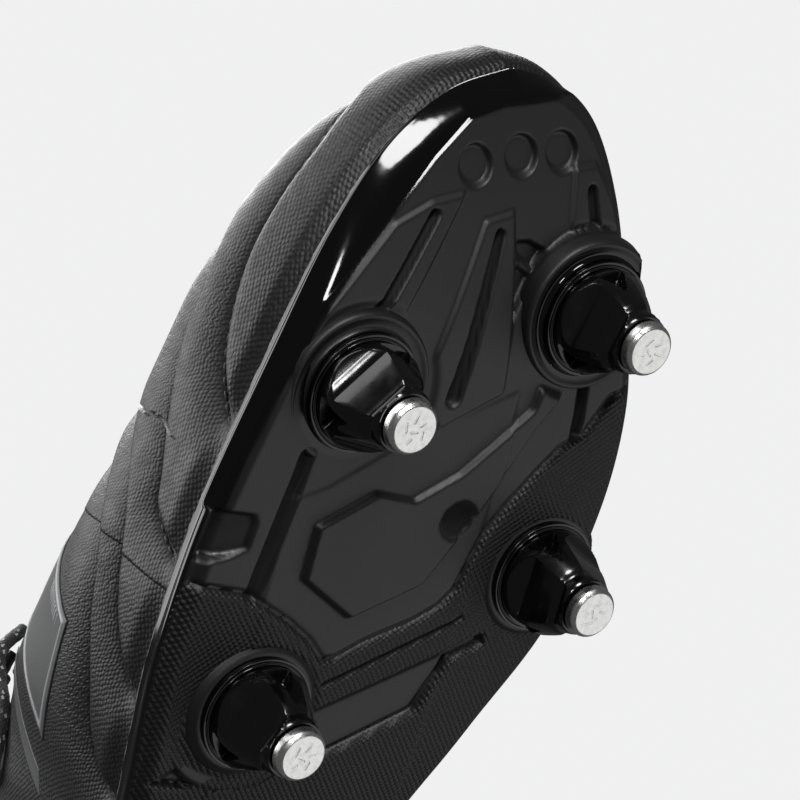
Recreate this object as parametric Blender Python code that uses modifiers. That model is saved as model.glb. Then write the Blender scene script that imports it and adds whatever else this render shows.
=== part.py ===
"""Soft-ground soccer cleat, right foot: plate, six screw-in studs, layered upper and laces.

Sizes are in millimetres until a mesh is made. +X points to the toe, +Y to the medial side,
+Z up, and the stud tips stand on z = 0. The upper is one surface, upper_point(side, u, v):
u runs from the heel (0) to the toe (1) along the plate's edge, and v runs from that edge (0)
to the top line (1), which is the collar at the rear and the ridge of the instep in front.
"""
import math

import bmesh
import bpy
from mathutils import Matrix, Vector

MM = 0.001
OBJECT_NAME = "soccer_cleat"
SHIFT = Vector((-0.9, 1.7, 0.0))     # moves the whole boot so that its box is centred on X and Y

# --- plate outline, heel to toe, and heights along X ---------------------------------------
LATERAL_EDGE = [
    (-140, -11.7), (-136.5, -26), (-124, -38), (-95, -42.5), (-55, -40), (-20, -41.5),
    (12, -45.6), (32, -46.7), (59, -44.4), (87, -37.8), (108, -30), (124, -20), (135, -7),
    (140.5, 7),
]
MEDIAL_EDGE = [
    (-140, -11.7), (-137, 1), (-124, 13), (-95, 17), (-60, 12), (-30, 13), (-5, 20),
    (14, 28.2), (36, 39), (60, 43.2), (82, 42.2), (101, 37), (120, 31.9), (133, 25.5),
    (139, 17), (140.5, 7),
]
EDGE_TOP = [(-140, 28), (-100, 28), (-60, 31.5), (-20, 31), (20, 26.5), (60, 25), (90, 26),
            (115, 30), (140.5, 37)]
PLATE_BOTTOM = [(-140, 22), (-120, 20.5), (-90, 20.5), (-50, 25), (-20, 25.5), (10, 20.5),
                (50, 18.5), (88, 18.5), (112, 23), (140.5, 32)]
FLOOR = 4.5                          # thickness of the plate's floor
RIM_WIDTH = 6.5
BOARD_THICK = 2.0
SOCKLINER_THICK = 3.0
FOOTBED_INSET = 9.5

# --- top line: (u, x, y lateral, y medial, z) ----------------------------------------------
TOP_LINE = [
    (0.00, -131, -11.5, -11.5, 101), (0.05, -127, -24, 1, 99), (0.12, -110, -37, 13, 92),
    (0.20, -90, -42, 17, 85), (0.28, -70, -42, 16.5, 84), (0.36, -50, -38, 10, 93),
    (0.43, -38, -29, 3, 104), (0.46, -28, -13, -13, 113), (0.50, -14, -12, -12, 108),
    (0.55, 0, -9.5, -9.5, 102), (0.60, 14, -7.5, -7.5, 96.5), (0.65, 28, -5.5, -5.5, 91.5),
    (0.70, 42, -3, -3, 87.5), (0.75, 55, 0, 0, 84), (0.80, 68, 2, 2, 81),
    (0.85, 80, 4, 4, 77.5), (0.90, 91, 5.5, 5.5, 73.5), (0.95, 102, 6.5, 6.5, 69.5),
    (1.00, 113, 7, 7, 65),
]
UPPER_INSET = 1.5                    # the upper stands this far inside the plate's edge
SIDE_BULGE = [(0, 3), (.2, 2.5), (.5, 0), (.62, -.5), (.69, 0), (.75, 4.5), (.8, 8), (.87, 10), (.94, 11),
              (1, 9.5)]
WALL_PULL = 0.64                     # how square the section is, from 0, a chord, to 1

# --- lattice that all layers of the upper share ---------------------------------------------
COLUMNS = [0, .035, .075, .12, .18, .245, .31, .37, .43, .46, .50, .54, .58, .62, .66, .70,
           .75, .80, .85, .89, .93, .965, 1]
ROWS = [0, .12, .26, .40, .55, .69, .78, .87, 1]
HEEL_SEAM, CORNER, VAMP_SEAM, THROAT_FRONT = .12, .43, .62, .70
STAY_LOW, STAY_EDGE = .69, .87
SKIN, GAP, STIFFENER, LINING = 1.5, 0.4, 0.8, 1.0
PAD_DEPTH = 3.4                      # extra depth of the lining where the collar is padded
SEAM_GAP = 0.45

# --- studs: x, y and height -------------------------------------------------------------------
STUDS = {
    "front_lateral": (83.3, -21.3, 16.0),
    "front_medial": (100.2, 25.9, 16.0),
    "mid_lateral": (20.5, -26.3, 16.0),
    "mid_medial": (48.0, 30.9, 16.0),
    "heel_lateral": (-104.0, -29.0, 18.0),
    "heel_medial": (-100.0, 7.0, 18.0),
}
STUD_R = 10.2
TIP_R = 5.0
CLEAR = 0.3                          # gap between pieces that touch
WASHER_R, WASHER_T = 11.2, 1.0
BOSS_R = 11.5
POST_R, POST_REACH, POST_SEAT = 2.5, 7.0, 4.0
INSERT_R, INSERT_BORE = 5.0, 2.85
TURN_STEPS = 14

# --- laces --------------------------------------------------------------------------------------
EYELETS = [.68, .639, .598, .557, .516, .475]
EYELET_V = .78
EYELET_R = 2.0
LACE_R = 1.4
LACE_OVER, LACE_UNDER = 2.2, -6.3
CROSS_HIGH, CROSS_LOW = 0.6, -3.2
KNOT_U, KNOT_HEIGHT = .484, 6.8
TONGUE_DEPTH, TONGUE_THICK, TONGUE_V = 8.7, 4.5, .62
TONGUE_TURN = [.75, .6, .35, 0, -.35, -.6, -.75]     # sideways share of its thickness
TONGUE_TOP = [(8, 2.5, .95, .40), (15, 9, 1.25, .35), (21, 17, 1.55, .30), (26, 26.5, 1.6, .40)]

MATERIALS = {                        # colour, roughness, metallic
    "plate_nylon": ((0.012, 0.012, 0.013), 0.22, 0),
    "stud_nylon": ((0.010, 0.010, 0.011), 0.20, 0),
    "tip_aluminium": ((0.78, 0.78, 0.76), 0.30, 1),
    "post_steel": ((0.55, 0.56, 0.58), 0.35, 1),
    "insert_brass": ((0.72, 0.55, 0.26), 0.35, 1),
    "upper_skin": ((0.018, 0.018, 0.020), 0.45, 0),
    "flash_silver": ((0.33, 0.34, 0.36), 0.40, 0),
    "lining_textile": ((0.05, 0.05, 0.055), 0.90, 0),
    "foam": ((0.25, 0.25, 0.24), 0.95, 0),
    "stiffener": ((0.55, 0.52, 0.46), 0.70, 0),
    "board_fibre": ((0.45, 0.38, 0.28), 0.85, 0),
    "sockliner_foam": ((0.03, 0.03, 0.032), 0.90, 0),
    "lace_polyester": ((0.022, 0.022, 0.024), 0.80, 0),
    "aglet_plastic": ((0.02, 0.02, 0.022), 0.25, 0),
}


# ------------------------------------------------------------------------------ curves
def table(stations, x):
    """A smooth curve through (x, value) stations, flat past its ends."""
    if x <= stations[0][0]:
        return stations[0][1]
    if x >= stations[-1][0]:
        return stations[-1][1]
    i = max(k for k in range(len(stations) - 1) if stations[k][0] <= x)

    def slope(k):
        a, b = stations[max(k - 1, 0)], stations[min(k + 1, len(stations) - 1)]
        return (b[1] - a[1]) / (b[0] - a[0])

    (x0, y0), (x1, y1) = stations[i], stations[i + 1]
    w = x1 - x0
    t = (x - x0) / w
    return ((2 * t**3 - 3 * t**2 + 1) * y0 + (t**3 - 2 * t**2 + t) * w * slope(i)
            + (3 * t**2 - 2 * t**3) * y1 + (t**3 - t**2) * w * slope(i + 1))


def smoothstep(low, high, x):
    t = min(max((x - low) / (high - low), 0.0), 1.0)
    return t * t * (3 - 2 * t)


class Outline:
    """A Catmull-Rom curve through plan points, read by its share of arc length."""

    def __init__(self, points, per_span=24):
        pts = [Vector(p) for p in points]
        pts = [2 * pts[0] - pts[1]] + pts + [2 * pts[-1] - pts[-2]]
        self.points = []
        for i in range(1, len(pts) - 2):
            p0, p1, p2, p3 = pts[i - 1:i + 3]
            for k in range(per_span):
                t = k / per_span
                self.points.append(0.5 * (2 * p1 + (p2 - p0) * t
                                          + (2 * p0 - 5 * p1 + 4 * p2 - p3) * t**2
                                          + (3 * p1 - p0 - 3 * p2 + p3) * t**3))
        self.points.append(pts[-2])
        self.at = [0.0]
        for a, b in zip(self.points, self.points[1:]):
            self.at.append(self.at[-1] + (b - a).length)

    def point(self, u):
        s = min(max(u, 0.0), 1.0) * self.at[-1]
        i = next((k for k in range(1, len(self.at)) if self.at[k] >= s), len(self.at) - 1)
        t = (s - self.at[i - 1]) / (self.at[i] - self.at[i - 1])
        return self.points[i - 1].lerp(self.points[i], t)


EDGES = {"lateral": Outline(LATERAL_EDGE), "medial": Outline(MEDIAL_EDGE)}
OTHER = {"lateral": "medial", "medial": "lateral"}


def edge_point(side, u):
    """A point of the plate's edge. Past the heel or the toe it runs on round the other side."""
    if 0 <= u <= 1:
        return EDGES[side].point(u)
    return EDGES[OTHER[side]].point(-u if u < 0 else 2 - u)


def outward(side, u):
    """The unit plan vector square to the edge, away from the boot."""
    step = 0.008
    d = (edge_point(side, u + step) - edge_point(side, u - step)).normalized()
    return Vector((d.y, -d.x)) * (1 if side == "lateral" else -1)


# ------------------------------------------------------------------------------ the upper's surface
def top_point(side, u):
    column = 2 if side == "lateral" else 3
    return Vector((table([(r[0], r[1]) for r in TOP_LINE], u),
                   table([(r[0], r[column]) for r in TOP_LINE], u),
                   table([(r[0], r[4]) for r in TOP_LINE], u)))


def foot_point(side, u):
    """Where the upper meets the plate's rim, and the outward plan vector there."""
    edge = EDGES[side].point(u)
    out = outward(side, u)
    spot = edge - out * UPPER_INSET
    return Vector((spot.x, spot.y, table(EDGE_TOP, edge.x) + 0.3)), Vector((out.x, out.y, 0))


def ridge_slope(u):
    """The rise of the instep's ridge for each millimetre towards the toe."""
    along = top_point("lateral", min(u + 0.01, 1)) - top_point("lateral", u - 0.01)
    return along.z / along.x


def upper_point(side, u, v):
    """A point of the upper's outer surface: a cubic arch from the rim to the top line."""
    foot, out = foot_point(side, u)
    top = top_point(side, u)
    rise = top.z - foot.z
    lean = Vector((foot.x - top.x, foot.y - top.y, 0))
    up = Vector((0, 0, 1))
    p1 = foot + up * rise * WALL_PULL + out * table(SIDE_BULGE, u)
    collar = top - up * rise * 0.4 + out * 1.5
    arch = top + WALL_PULL * (lean + up * lean.x * ridge_slope(u))
    p2 = collar.lerp(arch, smoothstep(0.38, 0.5, u))
    w = 1 - v
    return w**3 * foot + 3 * w * w * v * p1 + 3 * w * v * v * p2 + v**3 * top


def one_normal(side, u, v):
    e = 0.004
    u0, u1 = max(u - e, 0), min(u + e, 1)
    v0, v1 = max(v - e, 0), min(v + e, 1)
    along = upper_point(side, u1, v) - upper_point(side, u0, v)
    rise = upper_point(side, u, v1) - upper_point(side, u, v0)
    n = along.cross(rise) if side == "lateral" else rise.cross(along)
    return n.normalized()


def middle_normal(way):
    """The upward or outward normal of the boot's middle line, square to its direction there."""
    n = Vector((-way.z, 0, way.x))
    return n.normalized()


def upper_normal(side, u, v):
    """The outward normal, the same from both sides on the lines where they join."""
    e = 0.004
    if v == 1 and u > CORNER:
        return middle_normal(top_point(side, min(u + e, 1)) - top_point(side, u - e))
    if u in (0, 1):
        low, high = max(v - e, 0), min(v + e, 1)
        way = upper_point(side, u, high) - upper_point(side, u, low)
        return middle_normal(way if u == 0 else -way)
    return one_normal(side, u, v)


def on_upper(side, u, v, height):
    return upper_point(side, u, v) + upper_normal(side, u, v) * height


def on_ridge(u, height):
    return on_upper("lateral", u, 1, height)


# ------------------------------------------------------------------------------ making objects
def clear_scene():
    for obj in list(bpy.data.objects):
        bpy.data.objects.remove(obj, do_unlink=True)
    for name in (OBJECT_NAME, "cutters"):
        old = bpy.data.collections.get(name)
        if old:
            bpy.data.collections.remove(old)
        bpy.context.scene.collection.children.link(bpy.data.collections.new(name))


def material(slot):
    found = bpy.data.materials.get(slot)
    if found:
        return found
    colour, rough, metal = MATERIALS[slot]
    made = bpy.data.materials.new(slot)
    made.use_nodes = True
    shader = made.node_tree.nodes["Principled BSDF"]
    shader.inputs["Base Color"].default_value = (*colour, 1)
    shader.inputs["Roughness"].default_value = rough
    shader.inputs["Metallic"].default_value = metal
    made.diffuse_color = (*colour, 1)
    return made


def add_object(name, mesh, slot=None):
    obj = bpy.data.objects.new(name, mesh)
    bpy.data.collections[OBJECT_NAME if slot else "cutters"].objects.link(obj)
    if slot:
        mesh.materials.append(material(slot))
    else:
        obj.hide_render = True
        obj.display_type = "WIRE"
    return obj


def finish_mesh(bm, name):
    """Close seams, point the faces outward and write the mesh in metres."""
    bmesh.ops.remove_doubles(bm, verts=bm.verts, dist=0.02)
    bmesh.ops.recalc_face_normals(bm, faces=bm.faces)
    for vert in bm.verts:
        vert.co = (vert.co + SHIFT) * MM
    mesh = bpy.data.meshes.new(name)
    bm.to_mesh(mesh)
    bm.free()
    return mesh


def grid_faces(bm, rows):
    for a, b in zip(rows, rows[1:]):
        for k in range(len(a) - 1):
            bm.faces.new((a[k], a[k + 1], b[k + 1], b[k]))


def loft(name, rings, slot):
    """A closed solid through rings of equal length, with a cap on each end."""
    bm = bmesh.new()
    made = [[bm.verts.new(p) for p in ring] for ring in rings]
    grid_faces(bm, [ring + ring[:1] for ring in made])
    bm.faces.new(made[0])
    bm.faces.new(list(reversed(made[-1])))
    return add_object(name, finish_mesh(bm, name), slot)


def cut(obj, cutter, operation="DIFFERENCE"):
    step = obj.modifiers.new(cutter.name, "BOOLEAN")
    step.object = cutter
    step.operation = operation
    step.solver = "EXACT"


def turned(name, profile, centre, slot):
    """A profile of (radius, height) points turned round a vertical axis at centre."""
    mesh = bpy.data.meshes.new(name)
    closed = profile[0][0] > 0 and profile[-1][0] > 0
    count = len(profile)
    area = sum(a[0] * b[1] - b[0] * a[1] for a, b in zip(profile, profile[1:] + profile[:1]))
    if area > 0:                     # one way round, so that the faces point outward
        profile = profile[::-1]
    edges = [(k, (k + 1) % count) for k in range(count if closed else count - 1)]
    mesh.from_pydata([(r * MM, 0, z * MM) for r, z in profile], edges, [])
    obj = add_object(name, mesh, slot)
    obj.location = (Vector(centre) + SHIFT) * MM
    screw = obj.modifiers.new("turn", "SCREW")
    screw.steps = screw.render_steps = TURN_STEPS
    screw.use_merge_vertices = True
    screw.merge_threshold = 0.00001
    return obj


def tube(name, points, radius, slot, sides=2):
    """A round cord through points, as a mesh with its caps welded on."""
    curve = bpy.data.curves.new(name, "CURVE")
    curve.dimensions = "3D"
    curve.bevel_depth = radius * MM
    curve.bevel_resolution = sides
    curve.use_fill_caps = True
    line = curve.splines.new("POLY")
    line.points.add(len(points) - 1)
    for spot, p in zip(line.points, points):
        spot.co = (*((p + SHIFT) * MM), 1)
    raw = bpy.data.objects.new(name + "_path", curve)
    bpy.context.scene.collection.objects.link(raw)
    graph = bpy.context.evaluated_depsgraph_get()
    mesh = bpy.data.meshes.new_from_object(raw.evaluated_get(graph))
    mesh.name = name
    bpy.data.objects.remove(raw, do_unlink=True)
    bm = bmesh.new()
    bm.from_mesh(mesh)
    bmesh.ops.remove_doubles(bm, verts=bm.verts, dist=0.00001)
    bmesh.ops.recalc_face_normals(bm, faces=bm.faces)
    bm.to_mesh(mesh)
    bm.free()
    return add_object(name, mesh, slot)


# ------------------------------------------------------------------------------ upper layers
def lattice_patch(name, slot, cells, outer, thick):
    """A layer of the upper. cells(side, u, v) says which lattice cells it has, by their middles;
    outer(u, v) is how deep its outer face lies under the upper's surface."""
    bm = bmesh.new()
    for side in ("lateral", "medial"):
        made = {}

        def vert(i, j):
            if (i, j) not in made:
                u, v = COLUMNS[i], ROWS[j]
                made[i, j] = bm.verts.new(on_upper(side, u, v, -outer(u, v)))
            return made[i, j]

        for i in range(len(COLUMNS) - 1):
            for j in range(len(ROWS) - 1):
                u = (COLUMNS[i] + COLUMNS[i + 1]) / 2
                v = (ROWS[j] + ROWS[j + 1]) / 2
                if cells(side, u, v):
                    ring = [vert(i, j), vert(i + 1, j), vert(i + 1, j + 1), vert(i, j + 1)]
                    bm.faces.new(ring if side == "lateral" else reversed(ring))
    bmesh.ops.remove_doubles(bm, verts=bm.verts, dist=0.02)
    trim_border(bm)
    obj = add_object(name, finish_open(bm, name), slot)
    solidify(obj, thick)
    return obj


def solidify(obj, thick):
    shell = obj.modifiers.new("thickness", "SOLIDIFY")
    shell.thickness = thick * MM
    shell.offset = -1


def trim_border(bm):
    """Draw the open border in by SEAM_GAP, so that panels that share a seam keep apart."""
    bm.normal_update()
    moves = {}
    for edge in bm.edges:
        if edge.is_boundary:
            face = edge.link_faces[0]
            a, b = edge.verts
            inward = face.normal.cross(b.co - a.co).normalized()
            if inward.dot(face.calc_center_median() - a.co) < 0:
                inward.negate()
            for vert in (a, b):
                moves[vert] = moves.get(vert, Vector()) + inward
    for vert, move in moves.items():
        vert.co += move * (2 * SEAM_GAP / max(move.length_squared, 1))


def finish_open(bm, name):
    for vert in bm.verts:
        vert.co = (vert.co + SHIFT) * MM
    mesh = bpy.data.meshes.new(name)
    bm.to_mesh(mesh)
    bm.free()
    return mesh


def is_throat(u, v):
    return CORNER < u < THROAT_FRONT and v > STAY_EDGE


def under_stay(u, v):
    return CORNER < u < THROAT_FRONT and v > STAY_LOW


def lining_depth(u, v):
    padded = smoothstep(.55, .69, v) * (1 - smoothstep(.37, .46, u))
    return SKIN + GAP + STIFFENER + GAP + PAD_DEPTH * padded


def make_upper():
    flush = lambda u, v: 0.0
    under = lambda u, v: SKIN + GAP
    lattice_patch("vamp", "upper_skin",
                  lambda s, u, v: u > VAMP_SEAM and not under_stay(u, v), flush, SKIN)
    lattice_patch("heel_panel", "upper_skin", lambda s, u, v: u < HEEL_SEAM, flush, SKIN)
    for side in ("lateral", "medial"):
        lattice_patch(f"quarter_{side}", "upper_skin",
                      lambda s, u, v: s == side and HEEL_SEAM < u < VAMP_SEAM
                      and not under_stay(u, v), flush, SKIN)
        stay = lattice_patch(f"eyestay_{side}", "upper_skin",
                             lambda s, u, v: s == side and under_stay(u, v)
                             and not is_throat(u, v), flush, SKIN)
        cut(stay, bpy.data.objects["eyelet_cutter"])
    for name, seam in (("vamp_lining", True), ("quarter_lining", False)):
        made = lattice_patch(name, "lining_textile",
                             lambda s, u, v: (u > VAMP_SEAM) == seam and not is_throat(u, v),
                             lining_depth, LINING)
        cut(made, bpy.data.objects["eyelet_cutter"])
    lattice_patch("toe_puff", "stiffener", lambda s, u, v: u > .85 and v < .78, under, STIFFENER)
    lattice_patch("heel_counter", "stiffener", lambda s, u, v: u < .18 and v < .55,
                  under, STIFFENER)
    lattice_patch("collar_padding", "foam", lambda s, u, v: u < .37 and v > STAY_LOW,
                  under, PAD_DEPTH + 0.6)


def make_eyelet_cutter():
    """The lace holes of both eyestays, as one cutter."""
    bm = bmesh.new()
    for side in ("lateral", "medial"):
        for u in EYELETS:
            n = upper_normal(side, u, EYELET_V)
            centre = on_upper(side, u, EYELET_V, -2)
            turn = Vector((0, 0, 1)).rotation_difference(n).to_matrix().to_4x4()
            bmesh.ops.create_cone(bm, cap_ends=True, segments=8, radius1=EYELET_R,
                                  radius2=EYELET_R, depth=9,
                                  matrix=Matrix.Translation(centre) @ turn)
    add_object("eyelet_cutter", finish_mesh(bm, "eyelet_cutter"))


def overlay(name, side, corners, slot, steps=(3, 8)):
    """A thin strip laid on the upper, between two (u, v) lines: corners is foot0, foot1, top0, top1."""
    bm = bmesh.new()
    foot0, foot1, top0, top1 = (Vector(c) for c in corners)
    rows = []
    for k in range(steps[1] + 1):
        left = foot0.lerp(top0, k / steps[1])
        right = foot1.lerp(top1, k / steps[1])
        spots = [left.lerp(right, i / steps[0]) for i in range(steps[0] + 1)]
        rows.append([bm.verts.new(on_upper(side, p.x, p.y, 1.6)) for p in spots])
    grid_faces(bm, rows)
    u, v = (foot0 + foot1 + top0 + top1) / 4
    return thicken(bm, name, slot, 0.7, upper_normal(side, u, v))


def thicken(bm, name, slot, thick, outside):
    """An open sheet made solid on the side away from outside."""
    bm.normal_update()
    if sum((f.normal for f in bm.faces), Vector()).dot(outside) < 0:
        bmesh.ops.reverse_faces(bm, faces=bm.faces)
    obj = add_object(name, finish_open(bm, name), slot)
    solidify(obj, thick)
    return obj


def make_flashes():
    for side in ("lateral", "medial"):
        overlay(f"side_flash_{side}", side, [(.475, .10), (.56, .10), (.50, .58), (.57, .58)],
                "flash_silver", (4, 7))
        overlay(f"side_line_{side}", side, [(.435, .10), (.452, .10), (.47, .58), (.485, .58)],
                "flash_silver", (1, 7))


# ------------------------------------------------------------------------------ plate and footbed
def cross_point(u, inset, from_side, z):
    """A point on the line across the boot at u, inset from one side's edge."""
    a = EDGES[from_side].point(u)
    b = EDGES[OTHER[from_side]].point(u)
    width = (b - a).length
    reach = min(inset, 0.42 * width)
    spot = a + (b - a) * (reach / width)
    return Vector((spot.x, spot.y, z(spot.x)))


def across(u, insets, heights):
    """Points across the boot from the lateral side to the medial, at like insets."""
    left = [cross_point(u, d, "lateral", z) for d, z in zip(insets, heights)]
    right = [cross_point(u, d, "medial", z) for d, z in zip(insets, heights)]
    middle = (left[-1] + right[-1]) / 2
    middle.z = heights[-1](middle.x)
    return left + [middle] + right[::-1]


def bottom(x):
    return table(PLATE_BOTTOM, x)


def floor_top(x):
    return bottom(x) + FLOOR


def make_plate():
    rim = lambda x: table(EDGE_TOP, x) - 0.1
    rings = []
    for u in [.012] + COLUMNS[1:-1] + [.988]:
        low = across(u, (1.6, 5, 15), (bottom, bottom, bottom))
        wall = [lambda x: bottom(x) + 2.0, rim, rim]
        lateral = [cross_point(u, d, "lateral", z) for d, z in zip((0, 0.3, RIM_WIDTH), wall)]
        medial = [cross_point(u, d, "medial", z) for d, z in zip((0, 0.3, RIM_WIDTH), wall)]
        high = across(u, (RIM_WIDTH + 1, 15), (floor_top, floor_top))
        rings.append(low + medial + high[::-1] + lateral[::-1])
    plate = loft("outsole_plate", rings, "plate_nylon")
    for name, (x, y, height) in STUDS.items():
        seat = height + CLEAR * 2 + WASHER_T
        boss = cylinder(f"boss_{name}", x, y, seat, bottom(x) + 1.5, BOSS_R, 24, BOSS_R + 0.5)
        cut(plate, boss, "UNION")
    for name, (x, y, height) in STUDS.items():
        cut(plate, cylinder(f"bore_{name}", x, y, 5, 40, INSERT_R + CLEAR, 12))


def cylinder(name, x, y, low, high, radius, sides, top_radius=None):
    bm = bmesh.new()
    bmesh.ops.create_cone(bm, cap_ends=True, segments=sides, radius1=radius,
                          radius2=top_radius or radius, depth=high - low,
                          matrix=Matrix.Translation((x, y, (low + high) / 2)))
    return add_object(name, finish_mesh(bm, name))


def make_footbed():
    layers = (("insole_board", "board_fibre", 0.4, BOARD_THICK),
              ("sockliner", "sockliner_foam", 0.8 + BOARD_THICK, SOCKLINER_THICK))
    for name, slot, lift, thick in layers:
        low = lambda x: floor_top(x) + lift
        high = lambda x: floor_top(x) + lift + thick
        rings = []
        for u in [.095] + COLUMNS[3:-4] + [.905]:
            under = across(u, (FOOTBED_INSET, 20), (low, low))
            over = across(u, (FOOTBED_INSET, 20), (high, high))
            rings.append(under + over[::-1])
        loft(name, rings, slot)


# ------------------------------------------------------------------------------ studs
def make_studs():
    for name, (x, y, height) in STUDS.items():
        make_stud(f"stud_{name}", x, y, height)


def make_stud(name, x, y, height):
    base = (x, y, height)
    down = lambda profile: [(r, z - height) for r, z in profile]
    body = turned(name, down([
        (0, height - POST_SEAT), (POST_R + CLEAR, height - POST_SEAT), (POST_R + CLEAR, height),
        (STUD_R, height), (STUD_R, height - 4.2), (8.7, height - 7.2), (7.1, height - 10),
        (6.0, 3.9), (5.5, 2.9), (3.0, 2.9), (3.0, 5.4), (0, 5.4)]), base, "stud_nylon")
    cut(body, wrench_pockets(name, x, y, height))
    turned(f"{name}_tip", down([
        (0, 0), (4.3, 0), (TIP_R, 0.6), (TIP_R + 0.1, 2.6), (2.7, 2.6), (2.7, 5.1), (0, 5.1)]),
        base, "tip_aluminium")
    turned(f"{name}_post", down([
        (0, height - POST_SEAT + CLEAR), (POST_R, height - POST_SEAT + CLEAR),
        (POST_R, height + POST_REACH - 0.6), (POST_R - 0.6, height + POST_REACH),
        (0, height + POST_REACH)]), base, "post_steel")
    seat = height + CLEAR
    turned(f"{name}_washer", down([
        (POST_R + 0.6, seat), (WASHER_R, seat), (WASHER_R, seat + WASHER_T),
        (POST_R + 0.6, seat + WASHER_T)]), base, "stud_nylon")
    low = seat + WASHER_T + CLEAR
    high = min(floor_top(x - INSERT_R), floor_top(x + INSERT_R)) - CLEAR
    turned(f"{name}_insert", down([
        (INSERT_BORE, low), (INSERT_R, low), (INSERT_R, high), (INSERT_BORE, high)]),
        base, "insert_brass")


def wrench_pockets(name, x, y, height):
    """Three pockets round the stud's base, where its spanner grips."""
    bm = bmesh.new()
    for k in range(3):
        turn = Matrix.Rotation(math.radians(120 * k + 90), 4, "Z")
        lean = Matrix.Rotation(math.radians(90), 4, "Y") @ Matrix.Rotation(math.radians(180), 4, "Z")
        place = (Matrix.Translation((x, y, height - 3.4)) @ turn
                 @ Matrix.Translation((STUD_R - 0.2, 0, 0)) @ lean)
        bmesh.ops.create_cone(bm, cap_ends=True, segments=3, radius1=1.2, radius2=3.4, depth=2.6,
                              matrix=place)
    return add_object(f"pockets_{name}", finish_mesh(bm, f"pockets_{name}"))


# ------------------------------------------------------------------------------ tongue and laces
def tongue_spot(u, v_side, side):
    return on_upper(side, u, v_side, -TONGUE_DEPTH)


def make_tongue():
    """Sections under the throat, then four that rise clear of the collar."""
    rows = []
    for u in (.73, .70, .66, .62, .58, .54, .50, .46):
        half = [TONGUE_V, .72, .82]
        rows.append([tongue_spot(u, v, "lateral") for v in half]
                    + [on_ridge(u, -TONGUE_DEPTH)]
                    + [tongue_spot(u, v, "medial") for v in half[::-1]])
    last = rows[-1]
    centre = last[3]
    for back, rise, width, flat in TONGUE_TOP:
        rows.append([centre + Vector((-back, (p.y - centre.y) * width,
                                      rise + (p.z - centre.z) * flat)) for p in last])
    bm = bmesh.new()
    rings = [row + tongue_underside(rows, i)[::-1] for i, row in enumerate(rows)]
    rings = [[bm.verts.new(p) for p in ring] for ring in rings]
    grid_faces(bm, [ring + ring[:1] for ring in rings])
    for ring in (rings[0], rings[-1]):
        for k in range(len(TONGUE_TURN) - 1):
            bm.faces.new((ring[k], ring[k + 1], ring[-2 - k], ring[-1 - k]))
    add_object("tongue", finish_mesh(bm, "tongue"), "lining_textile")


def tongue_underside(rows, i):
    """The inner face's points of one section, moved in by the tongue's thickness."""
    way = rows[min(i + 1, len(rows) - 1)][3] - rows[max(i - 1, 0)][3]
    inward = Vector((-way.z, 0, way.x)).normalized()
    return [p + (inward * math.sqrt(1 - turn * turn) + Vector((0, turn, 0))) * TONGUE_THICK
            for p, turn in zip(rows[i], TONGUE_TURN)]


def lace_half(first):
    """One half of the criss-cross: out of eyelet 1 of its side, up to the top eyelet."""
    sides = ("lateral", "medial") if first == "lateral" else ("medial", "lateral")
    path = []
    for i, u in enumerate(EYELETS):
        side, other = sides[i % 2], sides[(i + 1) % 2]
        path += [on_upper(side, u, EYELET_V, LACE_UNDER), on_upper(side, u, EYELET_V, LACE_OVER)]
        if i + 1 < len(EYELETS):
            after = EYELETS[i + 1]
            high = (first == "lateral") == (i % 2 == 0)
            path += [on_upper(side, u + 0.15 * (after - u), .89, LACE_OVER),
                     on_ridge((u + after) / 2, CROSS_HIGH if high else CROSS_LOW),
                     on_upper(other, u + 0.85 * (after - u), .89, LACE_UNDER)]
    return path


def knot_end(side):
    away = -1 if side == "lateral" else 1
    return on_ridge(KNOT_U, KNOT_HEIGHT - 2.0) + Vector((0, away * 7.6, 0))


def make_laces():
    left, right = lace_half("lateral"), lace_half("medial")
    ends = {"lateral": right, "medial": left}          # five crossings swap the sides
    for side, path in ends.items():
        path += [on_upper(side, .480, .87, 3.4), knot_end(side)]
    bar = on_ridge(EYELETS[0], LACE_UNDER)
    tube("lace", left[::-1] + [bar] + right, LACE_R, "lace_polyester")
    make_knot()
    loop = [(.476, .91, 9.8), (.460, .84, 7.6), (.442, .72, 5.6), (.430, .60, 3.2),
            (.440, .53, 2.6), (.458, .56, 2.6), (.470, .66, 4.4), (.484, .78, 7.4),
            (.492, .91, 9.8)]
    tail = [(.462, .97, 10.5), (.432, .92, 6.8), (.405, .86, 4.0), (.385, .74, 2.6),
            (.372, .62, 2.4), (.364, .52, 2.4)]
    for side in ("lateral", "medial"):
        tube(f"lace_loop_{side}", smooth([on_upper(side, *p) for p in loop], 18), LACE_R,
             "lace_polyester")
        run = smooth([on_upper(side, *p) for p in tail], 12)
        tube(f"lace_tail_{side}", run, LACE_R, "lace_polyester")
        way = (run[-1] - run[-2]).normalized()
        start = run[-1] + way * 0.4
        tube(f"aglet_{side}", [start, start + way * 17], LACE_R + 0.1, "aglet_plastic", 3)


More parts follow.
